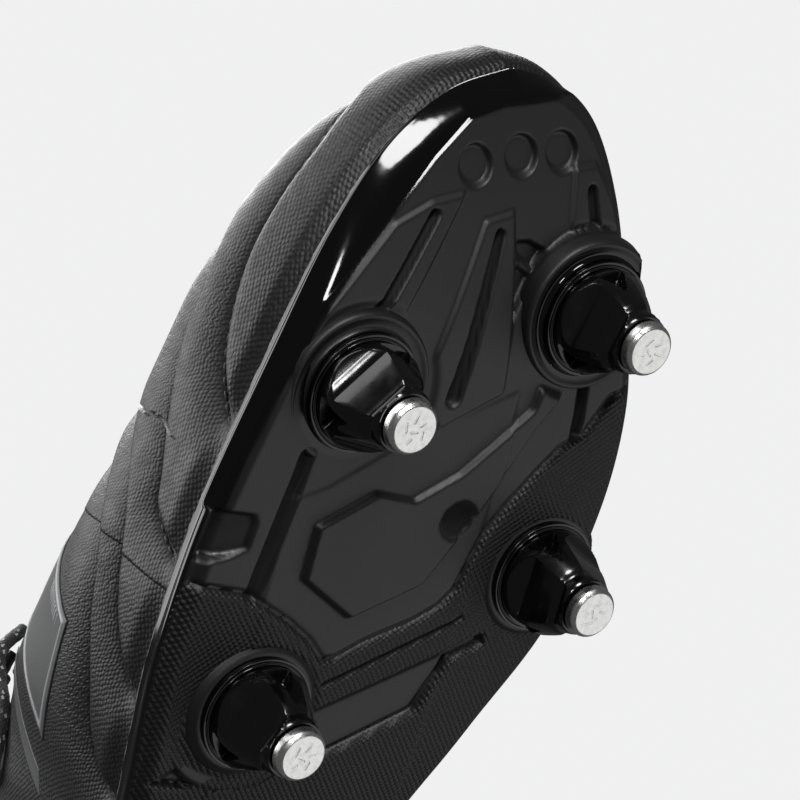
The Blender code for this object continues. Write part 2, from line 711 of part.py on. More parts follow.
def smooth(points, count):
    """Evenly spread points on a Catmull-Rom curve through a list of points."""
    pts = [2 * points[0] - points[1]] + points + [2 * points[-1] - points[-2]]
    fine = []
    for i in range(1, len(pts) - 2):
        p0, p1, p2, p3 = pts[i - 1:i + 3]
        for k in range(10):
            t = k / 10
            fine.append(0.5 * (2 * p1 + (p2 - p0) * t + (2 * p0 - 5 * p1 + 4 * p2 - p3) * t**2
                               + (3 * p1 - p0 - 3 * p2 + p3) * t**3))
    fine.append(pts[-2])
    at = [0.0]
    for a, b in zip(fine, fine[1:]):
        at.append(at[-1] + (b - a).length)
    out = []
    for k in range(count):
        s = at[-1] * k / (count - 1)
        i = next((n for n in range(1, len(at)) if at[n] >= s - 1e-9), len(at) - 1)
        t = (s - at[i - 1]) / (at[i] - at[i - 1])
        out.append(fine[i - 1].lerp(fine[i], t))
    return out


def make_knot():
    bm = bmesh.new()
    bmesh.ops.create_uvsphere(bm, u_segments=12, v_segments=8, radius=1)
    centre = on_ridge(KNOT_U, KNOT_HEIGHT)
    n = upper_normal("lateral", KNOT_U, 1)
    across_boot = Vector((0, 1, 0))
    frame = Matrix((n.cross(across_boot).normalized(), across_boot, n)).transposed().to_4x4()
    size = Matrix.Diagonal((4.6, 5.6, 3.2, 1))
    bmesh.ops.transform(bm, matrix=Matrix.Translation(centre) @ frame @ size, verts=bm.verts)
    add_object("lace_knot", finish_mesh(bm, "lace_knot"), "lace_polyester")


def make_pull_tab():
    """A webbing tab sewn up the back of the heel."""
    bm = bmesh.new()
    rows = []
    for v in (.70, .80, .90, 1):
        rows.append([on_upper("lateral", .014, v, 1.5), on_upper("lateral", 0, v, 1.5),
                     on_upper("medial", .014, v, 1.5)])
    for lift in (4, 8):
        rows.append([p + Vector((1.0, 0, lift)) for p in rows[3]])
    grid_faces(bm, [[bm.verts.new(p) for p in row] for row in rows])
    thicken(bm, "pull_tab", "lace_polyester", 1.0, Vector((-1, 0, 0)))


def main():
    clear_scene()
    make_plate()
    make_studs()
    make_footbed()
    make_eyelet_cutter()
    make_upper()
    make_flashes()
    make_tongue()
    make_laces()
    make_pull_tab()


main()
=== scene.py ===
"""Looks of the soft-ground soccer cleat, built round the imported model.

Sizes are in millimetres in the boot's design frame until a mesh is made; SHIFT then moves them
to the row frame. The plate's outline, the upper's surface and the laces' routes are the CAD's
own, so every fine piece lies where its CAD solid does.
"""
import math

import bmesh
import bpy
import numpy as np
from mathutils import Matrix, Vector


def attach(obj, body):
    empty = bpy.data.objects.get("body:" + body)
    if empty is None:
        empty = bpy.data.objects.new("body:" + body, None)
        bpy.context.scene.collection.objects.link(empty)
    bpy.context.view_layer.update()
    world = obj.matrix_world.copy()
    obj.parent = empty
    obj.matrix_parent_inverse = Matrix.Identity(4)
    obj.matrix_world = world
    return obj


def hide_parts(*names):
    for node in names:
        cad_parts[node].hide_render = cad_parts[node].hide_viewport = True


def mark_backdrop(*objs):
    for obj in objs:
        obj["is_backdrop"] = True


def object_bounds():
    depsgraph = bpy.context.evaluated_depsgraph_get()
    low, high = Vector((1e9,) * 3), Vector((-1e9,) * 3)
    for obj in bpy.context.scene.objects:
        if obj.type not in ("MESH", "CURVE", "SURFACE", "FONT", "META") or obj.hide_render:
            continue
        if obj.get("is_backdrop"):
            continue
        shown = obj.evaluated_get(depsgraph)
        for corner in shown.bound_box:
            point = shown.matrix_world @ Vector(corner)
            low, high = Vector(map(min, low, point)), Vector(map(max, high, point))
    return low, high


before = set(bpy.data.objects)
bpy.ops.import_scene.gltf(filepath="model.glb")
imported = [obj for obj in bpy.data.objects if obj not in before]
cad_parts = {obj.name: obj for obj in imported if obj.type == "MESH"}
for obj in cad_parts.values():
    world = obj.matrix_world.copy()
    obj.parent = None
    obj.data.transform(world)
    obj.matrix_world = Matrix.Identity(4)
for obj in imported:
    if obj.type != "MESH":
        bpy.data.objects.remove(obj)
cad_low, cad_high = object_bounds()

MM = 0.001
UV_UNIT = 100                        # millimetres in one unit of texture coordinates
FULL_TURN = 2 * math.pi
FAR = 1e9
SHIFT = np.array([-0.9, 1.7, 0.0])
UP = np.array([0.0, 0.0, 1.0])
SIDES = ("lateral", "medial")
OTHER = {"lateral": "medial", "medial": "lateral"}

# --- the CAD's driving dimensions ---------------------------------------------------------
LATERAL_EDGE = [
    (-140, -11.7), (-136.5, -26), (-124, -38), (-95, -42.5), (-55, -40), (-20, -41.5),
    (12, -45.6), (32, -46.7), (59, -44.4), (87, -37.8), (108, -30), (124, -20), (135, -7),
    (140.5, 7),
]
MEDIAL_EDGE = [
    (-140, -11.7), (-137, 1), (-124, 13), (-95, 17), (-60, 12), (-30, 13), (-5, 20),
    (14, 28.2), (36, 39), (60, 43.2), (82, 42.2), (101, 37), (120, 31.9), (133, 25.5),
    (139, 17), (140.5, 7),
]
EDGE_TOP = [(-140, 28), (-100, 28), (-60, 31.5), (-20, 31), (20, 26.5), (60, 25), (90, 26),
            (115, 30), (140.5, 37)]
PLATE_BOTTOM = [(-140, 22), (-120, 20.5), (-90, 20.5), (-50, 25), (-20, 25.5), (10, 20.5),
                (50, 18.5), (88, 18.5), (112, 23), (140.5, 32)]
TOP_LINE = [
    (0.00, -131, -11.5, -11.5, 101), (0.05, -127, -24, 1, 99), (0.12, -110, -37, 13, 92),
    (0.20, -90, -42, 17, 85), (0.28, -70, -42, 16.5, 84), (0.36, -50, -38, 10, 93),
    (0.43, -38, -29, 3, 104), (0.46, -28, -13, -13, 113), (0.50, -14, -12, -12, 108),
    (0.55, 0, -9.5, -9.5, 102), (0.60, 14, -7.5, -7.5, 96.5), (0.65, 28, -5.5, -5.5, 91.5),
    (0.70, 42, -3, -3, 87.5), (0.75, 55, 0, 0, 84), (0.80, 68, 2, 2, 81),
    (0.85, 80, 4, 4, 77.5), (0.90, 91, 5.5, 5.5, 73.5), (0.95, 102, 6.5, 6.5, 69.5),
    (1.00, 113, 7, 7, 65),
]
SIDE_BULGE = [(0, 3), (.2, 2.5), (.5, 0), (.62, -.5), (.69, 0), (.75, 4.5), (.8, 8), (.87, 10),
              (.94, 11), (1, 9.5)]
UPPER_INSET, WALL_PULL = 1.5, 0.64
FLOOR, RIM_WIDTH, BOARD_THICK, SOCKLINER_THICK, FOOTBED_INSET = 4.5, 6.5, 2.0, 3.0, 9.5
HEEL_SEAM, CORNER, VAMP_SEAM, THROAT_FRONT = .12, .43, .62, .70
STAY_LOW, STAY_EDGE = .69, .87
SKIN, GAP, STIFFENER, LINING, PAD_DEPTH = 1.5, 0.4, 0.8, 1.0, 3.4
SKIN_SHEET = SKIN * 0.55             # the thickness that a panel's mesh is given
INSET_LIMIT = 0.42                   # the most that an inset may take of the boot's width
STUDS = {
    "front_lateral": (83.3, -21.3, 16.0),
    "front_medial": (100.2, 25.9, 16.0),
    "mid_lateral": (20.5, -26.3, 16.0),
    "mid_medial": (48.0, 30.9, 16.0),
    "heel_lateral": (-104.0, -29.0, 18.0),
    "heel_medial": (-100.0, 7.0, 18.0),
}
PHASES = {"front_lateral": 12, "front_medial": -14, "mid_lateral": 0, "mid_medial": -30,
          "heel_lateral": 30, "heel_medial": 80}      # how far each stud is turned, in degrees
STUD_R, TIP_R, CLEAR, WASHER_R, WASHER_T = 10.2, 5.0, 0.3, 11.2, 1.0
POST_R, POST_REACH, POST_SEAT, THREAD_PITCH, THREAD_CUT = 2.5, 7.0, 4.0, 0.8, 0.42
AXIS_R = 0.001                       # stands for zero where a turned shape closes on its axis
EYELETS, EYELET_V, EYELET_R = [.68, .639, .598, .557, .516, .475], .78, 2.0
HOLE_GAP, LINING_HOLE_GAP = 0.15, 1.4      # how much wider the holes are than the eyelets
LACE_R, LACE_OVER, LACE_UNDER, CROSS_HIGH, CROSS_LOW = 1.4, 2.2, -6.3, 0.6, -3.2
KNOT_U, KNOT_HEIGHT = .484, 6.8
LOOP = [(.476, .91, 9.8), (.460, .84, 7.6), (.442, .72, 5.6), (.430, .60, 3.2), (.440, .53, 2.6),
        (.458, .56, 2.6), (.470, .66, 4.4), (.484, .78, 7.4), (.492, .91, 9.8)]
TAIL = [(.462, .97, 10.5), (.432, .92, 6.8), (.405, .86, 4.0), (.385, .74, 2.6),
        (.372, .62, 2.4), (.364, .52, 2.4)]
AGLET_LENGTH, AGLET_WALL, CRIMPS = 17, 0.1, (4, 13)
KNOT_TURNS, KNOT_WIDTH, KNOT_DEEP, KNOT_TALL = 2.5, 8.0, 3.1, 1.9
TAB_SIZE = (14, 30)
TONGUE_DEPTH, TONGUE_THICK, TONGUE_V = 8.7, 4.5, .62
TONGUE_TURN = [.75, .6, .35, 0, -.35, -.6, -.75]
TONGUE_TOP = [(8, 2.5, .95, .40), (15, 9, 1.25, .35), (21, 17, 1.55, .30), (26, 26.5, 1.6, .40)]

# --- the plate's relief, in plan ------------------------------------------------------------
RIM_LINE = [(138.5, 22), (135.5, 9), (134.4, 3), (131.6, -4.2), (124.3, -11.4), (115.2, -18.7),
            (107.8, -24.3), (98, -31), (81, -37.5), (67.5, -41), (59, -42.5)]
RIM_DROP = 3.6                       # how far the rim falls back from the tread to its edge
RIM_STEP = 0.5                       # the small step down on to it
EDGE_DROP, EDGE_REACH = 2.0, 3.2     # how far the rest of the edge falls back, and over what width
RIM_OUTSIDE = [(59, -80), (180, -80), (180, 22)]      # closes the rim's line outside the plate
RAISED = [                           # outline and height of each raised panel
    ([(119.3, -5), (117.3, -12), (112.9, -19.7), (98, -31), (88, -35), (80, -33), (92.6, -11.8),
      (98.3, -14.9)], 0.8),
    ([(114.8, 0), (116.9, 6.3), (98.1, 8.9), (84.3, 10.1), (77, -2.6), (83.8, -8.8)], 0.8),
    ([(125.7, 19.6), (126.7, 24.6), (120.3, 29.3), (108, 40), (92, 40), (100, 25),
      (113.6, 19.7)], 0.8),
    ([(86, 18.5), (85, 24), (78, 19.2), (61, 11.5), (46, 3), (39.2, -11), (47, -23.3),
      (57.5, -23.4), (64.2, -12.5), (63, -4), (68.5, 4.7), (81.5, 17.5)], 1.5),
    ([(-24, -26), (-24, 1), (-40, -4), (-66, -8), (-66, -19), (-40, -23)], 1.0),
]
SUNK = [                             # outline and depth of each sunk panel
    ([(111.6, 8.2), (111.8, 11), (110.5, 14.6), (106, 12.4), (101.5, 10.5), (97.5, 9.3)], 1.7),
    ([(34.8, 21.3), (33, 22.3), (29.7, 15.6), (18.5, 11), (9, -7), (14, -19), (19.1, -12.5)], 0.9),
    ([(4.6, -42.3), (8.6, -37), (6.4, -29.8), (3.4, -35.4)], 0.7),
]
NOTCH = [(59.6, -50), (58.9, -36.4), (57.4, -35.6), (52.3, -36.1), (50.6, -40), (48.5, -50)]
NOTCH_DEPTH, NOTCH_FALL, NOTCH_BEND = 0.9, 2.4, -36
SLOTS = [                            # ends, half widths and depth
    ((115.1, -11.4), (97.9, -20.2), 0.85, 1.00, 2.0),
    ((112.8, 3.4), (82.8, -1.1), 0.80, 1.30, 2.2),
    ((122.0, 23.8), (113.8, 25.7), 0.85, 0.90, 1.9),
    ((87.7, 28.6), (76.7, 29.9), 0.90, 0.95, 1.7),
    ((70.6, -28.9), (43.0, -32.6), 1.20, 1.30, 1.4),
    ((25.0, -12.1), (38.7, 15.4), 0.50, 0.50, 0.8),
    ((-30.0, -12.5), (-60.0, -13.5), 0.80, 1.20, 1.6),
    ((-78.0, -24.0), (-78.0, -3.0), 0.60, 0.60, 1.2),
    ((-124.0, -20.0), (-124.0, -2.0), 0.80, 0.80, 1.4),
]
BAR = ((108.2, 8.8), (106.2, 12.6), 0.8, 0.8, -1.3)
STEP_LINE = [(84.9, 14.1), (77, -2.6), (71.8, -12.2), (64.8, -22.9), (62, -30)]
STEP_HEIGHT, PAD_RISE, PAD_GROOVE = 0.35, 0.55, 0.8
BOSS_MARGIN = (14.8, 17.0)           # the raised panels fade out here, from the front studs' axes
TOE_DISHES = [(124, -2.9), (126.6, 7.2), (128.1, 16.5)]
TOE_DISH_R, TOE_DISH_DEPTH = 3.5, 1.3
DIMPLE, DIMPLE_R, DIMPLE_DEPTH = (59.3, 7.0), 4.1, 2.0
PAD_LINE = [(90, 48), (84.3, 36.1), (76.8, 31.9), (73.7, 27.1), (68.8, 23.3), (62.1, 18.8),
            (55, 14.9), (50.2, 13.6), (44.6, 12.1), (40.9, 9.2), (37.9, 4.4), (33.9, -4.9),
            (30.1, -11.3), (30.1, -14.1), (34.1, -18.1), (37.9, -23.6), (41.1, -29.7),
            (43.3, -33.9), (44.7, -43.3), (45.5, -55)]
ARCH_LINE = [(-16, -55), (-20, -38), (-8, -26), (-6, -10), (-10, 4), (-22, 12), (-24, 30)]
HEEL_LINE = [(-74, 30), (-80, 14), (-76, 0), (-70, -13), (-76, -30), (-84, -55)]

# --- the upper's channels, from the rim up and forward, as (u, v) -----------------------------
CHANNELS = [
    [(.721, 0), (.731, .05), (.758, .12), (.806, .18), (.847, .20), (.889, .22), (.925, .32),
     (.948, .58), (.954, 1)],
    [(.634, 0), (.653, .11), (.674, .15), (.707, .22), (.744, .29), (.792, .33), (.84, .46),
     (.870, .70), (.878, 1)],
    [(.545, 0), (.557, .05), (.581, .11), (.602, .15), (.639, .22), (.68, .36), (.718, .54),
     (.745, .77), (.752, 1)],
    [(.475, 0), (.482, .05), (.507, .11), (.536, .15), (.567, .20), (.605, .27), (.65, .42),
     (.685, .60), (.70, .69)],
]
PUFF, SINK = 2.9, 1.3                # a rib's height, and how far its foot lies under the surface
STEEP, GENTLE = 3.0, 12.0            # a rib's rise below a channel, and its fall to the next one
SEAM_HALF, SEAM_DEPTH, SEAM_WIDTH = 1.05, 0.55, 0.5
STITCH_LONG, STITCH_STEP, STITCH_R = 1.9, 2.7, 0.26
STITCH_SHAPE = [(0, .25, -.25), (.12, .8, 0), (.5, 1, .08), (.88, .8, 0),
                (1, .25, -.25)]      # share of a stitch's length, share of its radius, rise


# ------------------------------------------------------------------------------ curves
def table(stations, x):
    """A smooth curve through (x, value) stations, flat past its ends."""
    xs, ys = np.array(stations, float).T
    last = len(xs) - 1
    index = np.arange(last + 1)
    below, above = np.maximum(index - 1, 0), np.minimum(index + 1, last)
    slope = (ys[above] - ys[below]) / (xs[above] - xs[below])
    x = np.clip(np.asarray(x, float), xs[0], xs[-1])
    i = np.clip(np.searchsorted(xs, x, side="right") - 1, 0, last - 1)
    w = xs[i + 1] - xs[i]
    t = (x - xs[i]) / w
    return ((2 * t**3 - 3 * t**2 + 1) * ys[i] + (t**3 - 2 * t**2 + t) * w * slope[i]
            + (3 * t**2 - 2 * t**3) * ys[i + 1] + (t**3 - t**2) * w * slope[i + 1])


def smoothstep(low, high, x):
    t = np.clip((np.asarray(x, float) - low) / (high - low), 0, 1)
    return t * t * (3 - 2 * t)


def spline(points, per_span=24):
    """Points on a Catmull-Rom curve through a list of points."""
    pts = np.array(points, float)
    pts = np.concatenate([2 * pts[:1] - pts[1:2], pts, 2 * pts[-1:] - pts[-2:-1]])
    t = (np.arange(per_span) / per_span).reshape(-1, *[1] * (pts.ndim - 1))
    spans = [0.5 * (2 * p1 + (p2 - p0) * t + (2 * p0 - 5 * p1 + 4 * p2 - p3) * t**2
                    + (3 * p1 - p0 - 3 * p2 + p3) * t**3)
             for p0, p1, p2, p3 in zip(pts, pts[1:], pts[2:], pts[3:])]
    return np.concatenate(spans + [pts[-2:-1]])


def length_of(line):
    return np.linalg.norm(np.diff(line, axis=0), axis=1).sum()


def distances(line):
    """How far along a polyline each of its points is."""
    return np.r_[0, np.cumsum(np.linalg.norm(np.diff(line, axis=0), axis=1))]


def along(line, share):
    """Points of a polyline at shares of its length."""
    at = distances(line)
    return np.stack([np.interp(np.asarray(share) * at[-1], at, c) for c in line.T], -1)


def even(line, step):
    """The same line with points about one step apart."""
    return along(line, np.linspace(0, 1, max(int(length_of(line) / step), 3) + 1))


def unit(v):
    return v / np.maximum(np.linalg.norm(v, axis=-1, keepdims=True), 1e-9)


def flat(xy, z=0.0):
    z = np.broadcast_to(z, xy.shape[:-1])
    return np.concatenate([xy, z[..., None]], -1)


EDGES = {"lateral": spline(LATERAL_EDGE), "medial": spline(MEDIAL_EDGE)}


def edge_point(side, u):
    """A point of the plate's edge. Past the heel or the toe it runs on round the other side."""
    u = np.asarray(u, float)
    here = along(EDGES[side], np.clip(u, 0, 1))
    beyond = along(EDGES[OTHER[side]], np.where(u < 0, -u, np.clip(2 - u, 0, 1)))
    return np.where(((u >= 0) & (u <= 1))[..., None], here, beyond)


def outward(side, u):
    d = unit(edge_point(side, np.asarray(u) + 0.008) - edge_point(side, np.asarray(u) - 0.008))
    return np.stack([d[..., 1], -d[..., 0]], -1) * (1 if side == "lateral" else -1)


# ------------------------------------------------------------------------------ the upper's surface
def top_point(side, u):
    column = 2 if side == "lateral" else 3
    return np.stack([table([(r[0], r[c]) for r in TOP_LINE], u) for c in (1, column, 4)], -1)


def upper_point(side, u, v):
    """A point of the upper's outer surface: a cubic arch from the rim to the top line."""
    u, v = np.broadcast_arrays(np.asarray(u, float), np.asarray(v, float))
    edge, out = edge_point(side, u), outward(side, u)
    foot = flat(edge - out * UPPER_INSET, table(EDGE_TOP, edge[..., 0]) + 0.3)
    out = flat(out)
    top = top_point(side, u)
    rise = (top - foot)[..., 2:3]
    run = top_point("lateral", np.minimum(u + 0.01, 1)) - top_point("lateral", u - 0.01)
    slope = (run[..., 2] / run[..., 0])[..., None]
    lean = (foot - top) * (1, 1, 0)
    p1 = foot + UP * rise * WALL_PULL + out * table(SIDE_BULGE, u)[..., None]
    collar = top - UP * rise * 0.4 + out * 1.5
    arch = top + WALL_PULL * (lean + UP * lean[..., 0:1] * slope)
    p2 = collar + (arch - collar) * smoothstep(0.38, 0.5, u)[..., None]
    v = v[..., None]
    w = 1 - v
    return w**3 * foot + 3 * w * w * v * p1 + 3 * w * v * v * p2 + v**3 * top


def middle_normal(way):
    return unit(np.stack([-way[..., 2], np.zeros_like(way[..., 0]), way[..., 0]], -1))


def upper_normal(side, u, v):
    """The outward normal, the same from both sides on the lines where they join."""
    e = 0.004
    u, v = np.broadcast_arrays(np.asarray(u, float), np.asarray(v, float))
    run = upper_point(side, np.minimum(u + e, 1), v) - upper_point(side, np.maximum(u - e, 0), v)
    rise = upper_point(side, u, np.minimum(v + e, 1)) - upper_point(side, u, np.maximum(v - e, 0))
    n = unit(np.cross(run, rise)) * (1 if side == "lateral" else -1)
    ridge = middle_normal(top_point(side, np.minimum(u + e, 1)) - top_point(side, u - e))
    n = np.where(((v == 1) & (u > CORNER))[..., None], ridge, n)
    ends = middle_normal(np.where((u == 0)[..., None], rise, -rise))
    return np.where(((u == 0) | (u == 1))[..., None], ends, n)


def on_upper(side, u, v, height):
    height = np.asarray(height, float)
    return upper_point(side, u, v) + upper_normal(side, u, v) * height[..., None]


def on_ridge(u, height):
    return on_upper("lateral", u, 1.0, height)


def lining_depth(u, v):
    padded = smoothstep(.55, .69, v) * (1 - smoothstep(.37, .46, u))
    return SKIN + GAP + STIFFENER + GAP + PAD_DEPTH * padded


# ------------------------------------------------------------------------------ meshes
def add_mesh(name, points, faces, uv=None, masks=None, sharp=None):
    """A mesh object from design points; uv is in units of 100 mm, masks are point attributes."""
    mesh = bpy.data.meshes.new(name)
    points = (np.asarray(points, float).reshape(-1, 3) + SHIFT) * MM
    mesh.from_pydata(points.tolist(), [], faces.tolist() if hasattr(faces, "tolist") else faces)
    if uv is not None:
        layer = mesh.uv_layers.new(name="UVMap")
        index = np.zeros(len(mesh.loops), np.int32)
        mesh.loops.foreach_get("vertex_index", index)
        layer.data.foreach_set("uv", np.asarray(uv, float).reshape(-1, 2)[index].ravel())
    for key, values in (masks or {}).items():
        store = mesh.attributes.new(key, "FLOAT", "POINT")
        store.data.foreach_set("value", np.asarray(values, float).ravel())
    mesh.shade_smooth()
    if sharp:
        mesh.set_sharp_from_angle(angle=math.radians(sharp))
    obj = bpy.data.objects.new(name, mesh)
    bpy.context.scene.collection.objects.link(obj)
    return obj


def mend(obj, weld=0.0, turn=False):
    """Weld points closer than weld, in millimetres, and turn the faces outward."""
    bm = bmesh.new()
    bm.from_mesh(obj.data)
    if weld:
        bmesh.ops.remove_doubles(bm, verts=bm.verts, dist=weld * MM)
        loose = [v for v in bm.verts if not v.link_faces]
        bmesh.ops.delete(bm, geom=loose, context="VERTS")
    if turn:
        bmesh.ops.recalc_face_normals(bm, faces=bm.faces)
    bm.to_mesh(obj.data)
    bm.free()
    return obj


def fine_grid(grid, per_span):
    """A smooth surface through a grid of points."""
    return spline(spline(np.array(grid), per_span).transpose(1, 0, 2), per_span).transpose(1, 0, 2)


def unit_grid(rows, columns):
    """Shares from 0 to 1 along the rows and along the columns of a grid."""
    return np.meshgrid(np.linspace(0, 1, rows), np.linspace(0, 1, columns), indexing="ij")


def grid_faces(rows, columns, closed=False, start=0):
    """Quads of a rows by columns grid of points; closed joins the last column to the first."""
    i = np.arange(rows - 1)[:, None]
    j = np.arange(columns if closed else columns - 1)[None, :]
    after = (j + 1) % columns
    quads = np.stack([i * columns + j, i * columns + after, (i + 1) * columns + after,
                      (i + 1) * columns + j], -1)
    return quads.reshape(-1, 4) + start


def cushion_faces(rings):
    """Faces of a closed loft whose rings are an upper row and a lower row, back to back."""
    count = rings.shape[1]
    faces = grid_faces(len(rings), count, closed=True).tolist()
    for start, turn in ((0, False), ((len(rings) - 1) * count, True)):
        for k in range(count // 2 - 1):
            quad = [start + k, start + k + 1, start + count - 2 - k, start + count - 1 - k]
            faces.append(quad[::-1] if turn else quad)
    return faces


def join_grids(name, grids, uvs, flip, masks=None, keep=None, merge=0.02):
    """One object from several grids of points, welded where they meet."""
    points, faces, uv, start = [], [], [], 0
    masks = {key: np.concatenate([m.ravel() for m in values]) for key, values in
             (masks or {}).items()}
    for k, (grid, turn) in enumerate(zip(grids, flip)):
        quads = grid_faces(grid.shape[0], grid.shape[1], start=start)
        if keep is not None:
            quads = quads[keep[k].ravel()]
        faces.append(quads[:, ::-1] if turn else quads)
        points.append(grid.reshape(-1, 3))
        uv.append(uvs[k].reshape(-1, 2))
        start += points[-1].shape[0]
    obj = add_mesh(name, np.concatenate(points), np.concatenate(faces), np.concatenate(uv), masks)
    return mend(obj, merge)


def thicken(obj, thick):
    """A sheet made solid on its inner side."""
    shell = obj.modifiers.new("thickness", "SOLIDIFY")
    shell.thickness = thick * MM
    shell.offset = -1
    shell.use_even_offset = False
    return obj


def lathe(name, profile, centre, turns=64, radius=None, sharp=35, masks=None):
    """A (radius, height) profile turned round a vertical axis; radius(r, z, angle) may shape it."""
    profile = np.array(profile, float)
    angle = round_angles(turns)
    r = np.repeat(profile[:, :1], turns, 1)
    z = np.repeat(profile[:, 1:], turns, 1)
    if radius:
        r, z = radius(r, z, np.broadcast_to(angle, r.shape))
    points = np.stack([centre[0] + r * np.cos(angle), centre[1] + r * np.sin(angle),
                       np.broadcast_to(z, r.shape)], -1)
    faces = grid_faces(len(profile), turns, closed=True)
    area = np.sum(profile[:, 0] * np.roll(profile[:, 1], -1)
                  - profile[:, 1] * np.roll(profile[:, 0], -1))
    faces = faces if area > 0 else faces[:, ::-1]
    uv = np.stack([angle * STUD_R + 0 * r, z + r], -1) / UV_UNIT
    return mend(add_mesh(name, points, faces, uv, masks, sharp), 0.002, turn=True)


def rounded(profile, bevel=0.25, steps=3):
    """A (radius, height) profile with its inner corners cut by short arcs."""
    pts = np.array(profile, float)
    out = [pts[0]]
    for a, b, c in zip(pts, pts[1:], pts[2:]):
        before, after = a - b, c - b
        cut = min(bevel, 0.45 * np.linalg.norm(before), 0.45 * np.linalg.norm(after))
        p, q = b + unit(before) * cut, b + unit(after) * cut
        for t in np.linspace(0, 1, steps + 1):
            out.append((1 - t)**2 * p + 2 * t * (1 - t) * b + t * t * q)
    return np.array(out + [pts[-1]])


def frames(line):
    """Two unit vectors across a line at each point, carried along it without twist."""
    way = unit(np.gradient(line, axis=0))
    start = UP if abs(way[0, 2]) < 0.9 else np.array([1.0, 0, 0])
    a = unit(np.cross(way[0], start))
    first = []
    for w in way:
        a = unit(a - w * a.dot(w))
        first.append(a)
    first = np.array(first)
    return first, np.cross(way, first)


def round_angles(count):
    return np.linspace(0, FULL_TURN, count, endpoint=False)


def tube(line, r, turns):
    """Rings of points round a line, with a radius for each ring or each point."""
    a, b = (across[:, None] for across in frames(line))
    angle = round_angles(turns)[:, None]
    return line[:, None] + r[..., None] * (a * np.cos(angle) + b * np.sin(angle))


def braid(name, line, radius, step=0.45, turns=16, strands=8, pitch=5.2, lift=0.10):
    """A braided cord: a tube whose surface rises over and under in two crossing spirals."""
    line = even(np.asarray(line), step)
    at = distances(line)
    angle = round_angles(turns)
    twist = FULL_TURN * at[:, None] / pitch
    half = strands / 2 * angle
    wave = np.abs(np.sin(half + twist)) + np.abs(np.sin(half - twist))
    r = radius * (1 - lift + lift * 0.7 * wave)
    end = np.minimum(np.arange(len(line)), np.arange(len(line))[::-1])
    r = r * np.where(end == 0, 0.02, 1)[:, None]
    uv = np.stack([at[:, None] + 0 * angle, angle * radius + 0 * r], -1) / UV_UNIT
    faces = grid_faces(len(line), turns, closed=True)
    return add_mesh(name, tube(line, r, turns), faces[:, ::-1], uv), line


# ------------------------------------------------------------------------------ node materials
class Look:
    """A Principled material and short ways to add nodes to it."""

    def __init__(self, name, colour, rough, metal=0.0, **sockets):
        self.material = bpy.data.materials.new(name)
        self.material.use_nodes = True
        self.tree = self.material.node_tree
        self.shader = self.tree.nodes["Principled BSDF"]
        self.set("Base Color", (*colour, 1))
        self.set("Roughness", rough)
        self.set("Metallic", metal)
        for key, value in sockets.items():
            self.set(key.replace("_", " "), value)
        self.material.diffuse_color = (*colour, 1)

    def set(self, socket, value):
        self.shader.inputs[socket].default_value = value

    def put(self, socket, source):
        self.tree.links.new(source, self.shader.inputs[socket])

    def node(self, kind, inputs=None, **settings):
        made = self.tree.nodes.new(kind)
        for key, value in settings.items():
            setattr(made, key, value)
        for key, value in (inputs or {}).items():
            if isinstance(value, bpy.types.NodeSocket):
                self.tree.links.new(value, made.inputs[key])
            else:
                made.inputs[key].default_value = value
        return made

    def uv(self, scale, turn=0.0):
        """Texture coordinates of the piece's own sheet; scale is in repeats for each 100 mm."""
        place = self.node("ShaderNodeUVMap", uv_map="UVMap").outputs[0]
        return self.node("ShaderNodeMapping", {"Vector": place, "Scale": scale,
                                               "Rotation": (0, 0, turn)}).outputs[0]

    def space(self, scale):
        """Texture coordinates in the object's own space; scale is in repeats for each metre."""
        place = self.node("ShaderNodeTexCoord").outputs["Object"]
        return self.node("ShaderNodeMapping", {"Vector": place, "Scale": (scale,) * 3}).outputs[0]

    def noise(self, place, scale=1.0, detail=3.0):
        return self.node("ShaderNodeTexNoise", {"Vector": place, "Scale": scale,
                                                "Detail": detail}).outputs["Fac"]

    def cells(self, place, feature="F1", random=1.0, output="Distance"):
        return self.node("ShaderNodeTexVoronoi",
                         {"Vector": place, "Scale": 1.0, "Randomness": random},
                         feature=feature, voronoi_dimensions="2D").outputs[output]

    def wave(self, place, distortion=0.0, **settings):
        return self.node("ShaderNodeTexWave", {"Vector": place, "Scale": 1.0,
                                               "Distortion": distortion},
                         **settings).outputs["Fac"]

    def mask(self, name):
        return self.node("ShaderNodeAttribute", attribute_name=name).outputs["Fac"]

    def maths(self, operation, a, b):
        return self.node("ShaderNodeMath", {0: a, 1: b}, operation=operation).outputs[0]

    def span(self, value, low, high, start=0.0, stop=1.0):
        """value from start to stop, carried to low to high."""
        return self.node("ShaderNodeMapRange", {"Value": value, "From Min": start,
                                                "From Max": stop, "To Min": low,
                                                "To Max": high}).outputs[0]

    def blend(self, share, a, b):
        made = self.node("ShaderNodeMix", data_type="RGBA")
        self.tree.links.new(share, made.inputs["Factor"])
        for key, value in ((6, a), (7, b)):
            if isinstance(value, bpy.types.NodeSocket):
                self.tree.links.new(value, made.inputs[key])
            else:
                made.inputs[key].default_value = (*value, 1)
        return made.outputs[2]

    def bump(self, height, distance, strength=1.0, after=None):
        """A bump of a height from 0 to 1, distance in millimetres."""
        inputs = {"Height": height, "Distance": distance * MM, "Strength": strength}
        if after is not None:
            inputs["Normal"] = after
        return self.node("ShaderNodeBump", inputs).outputs[0]


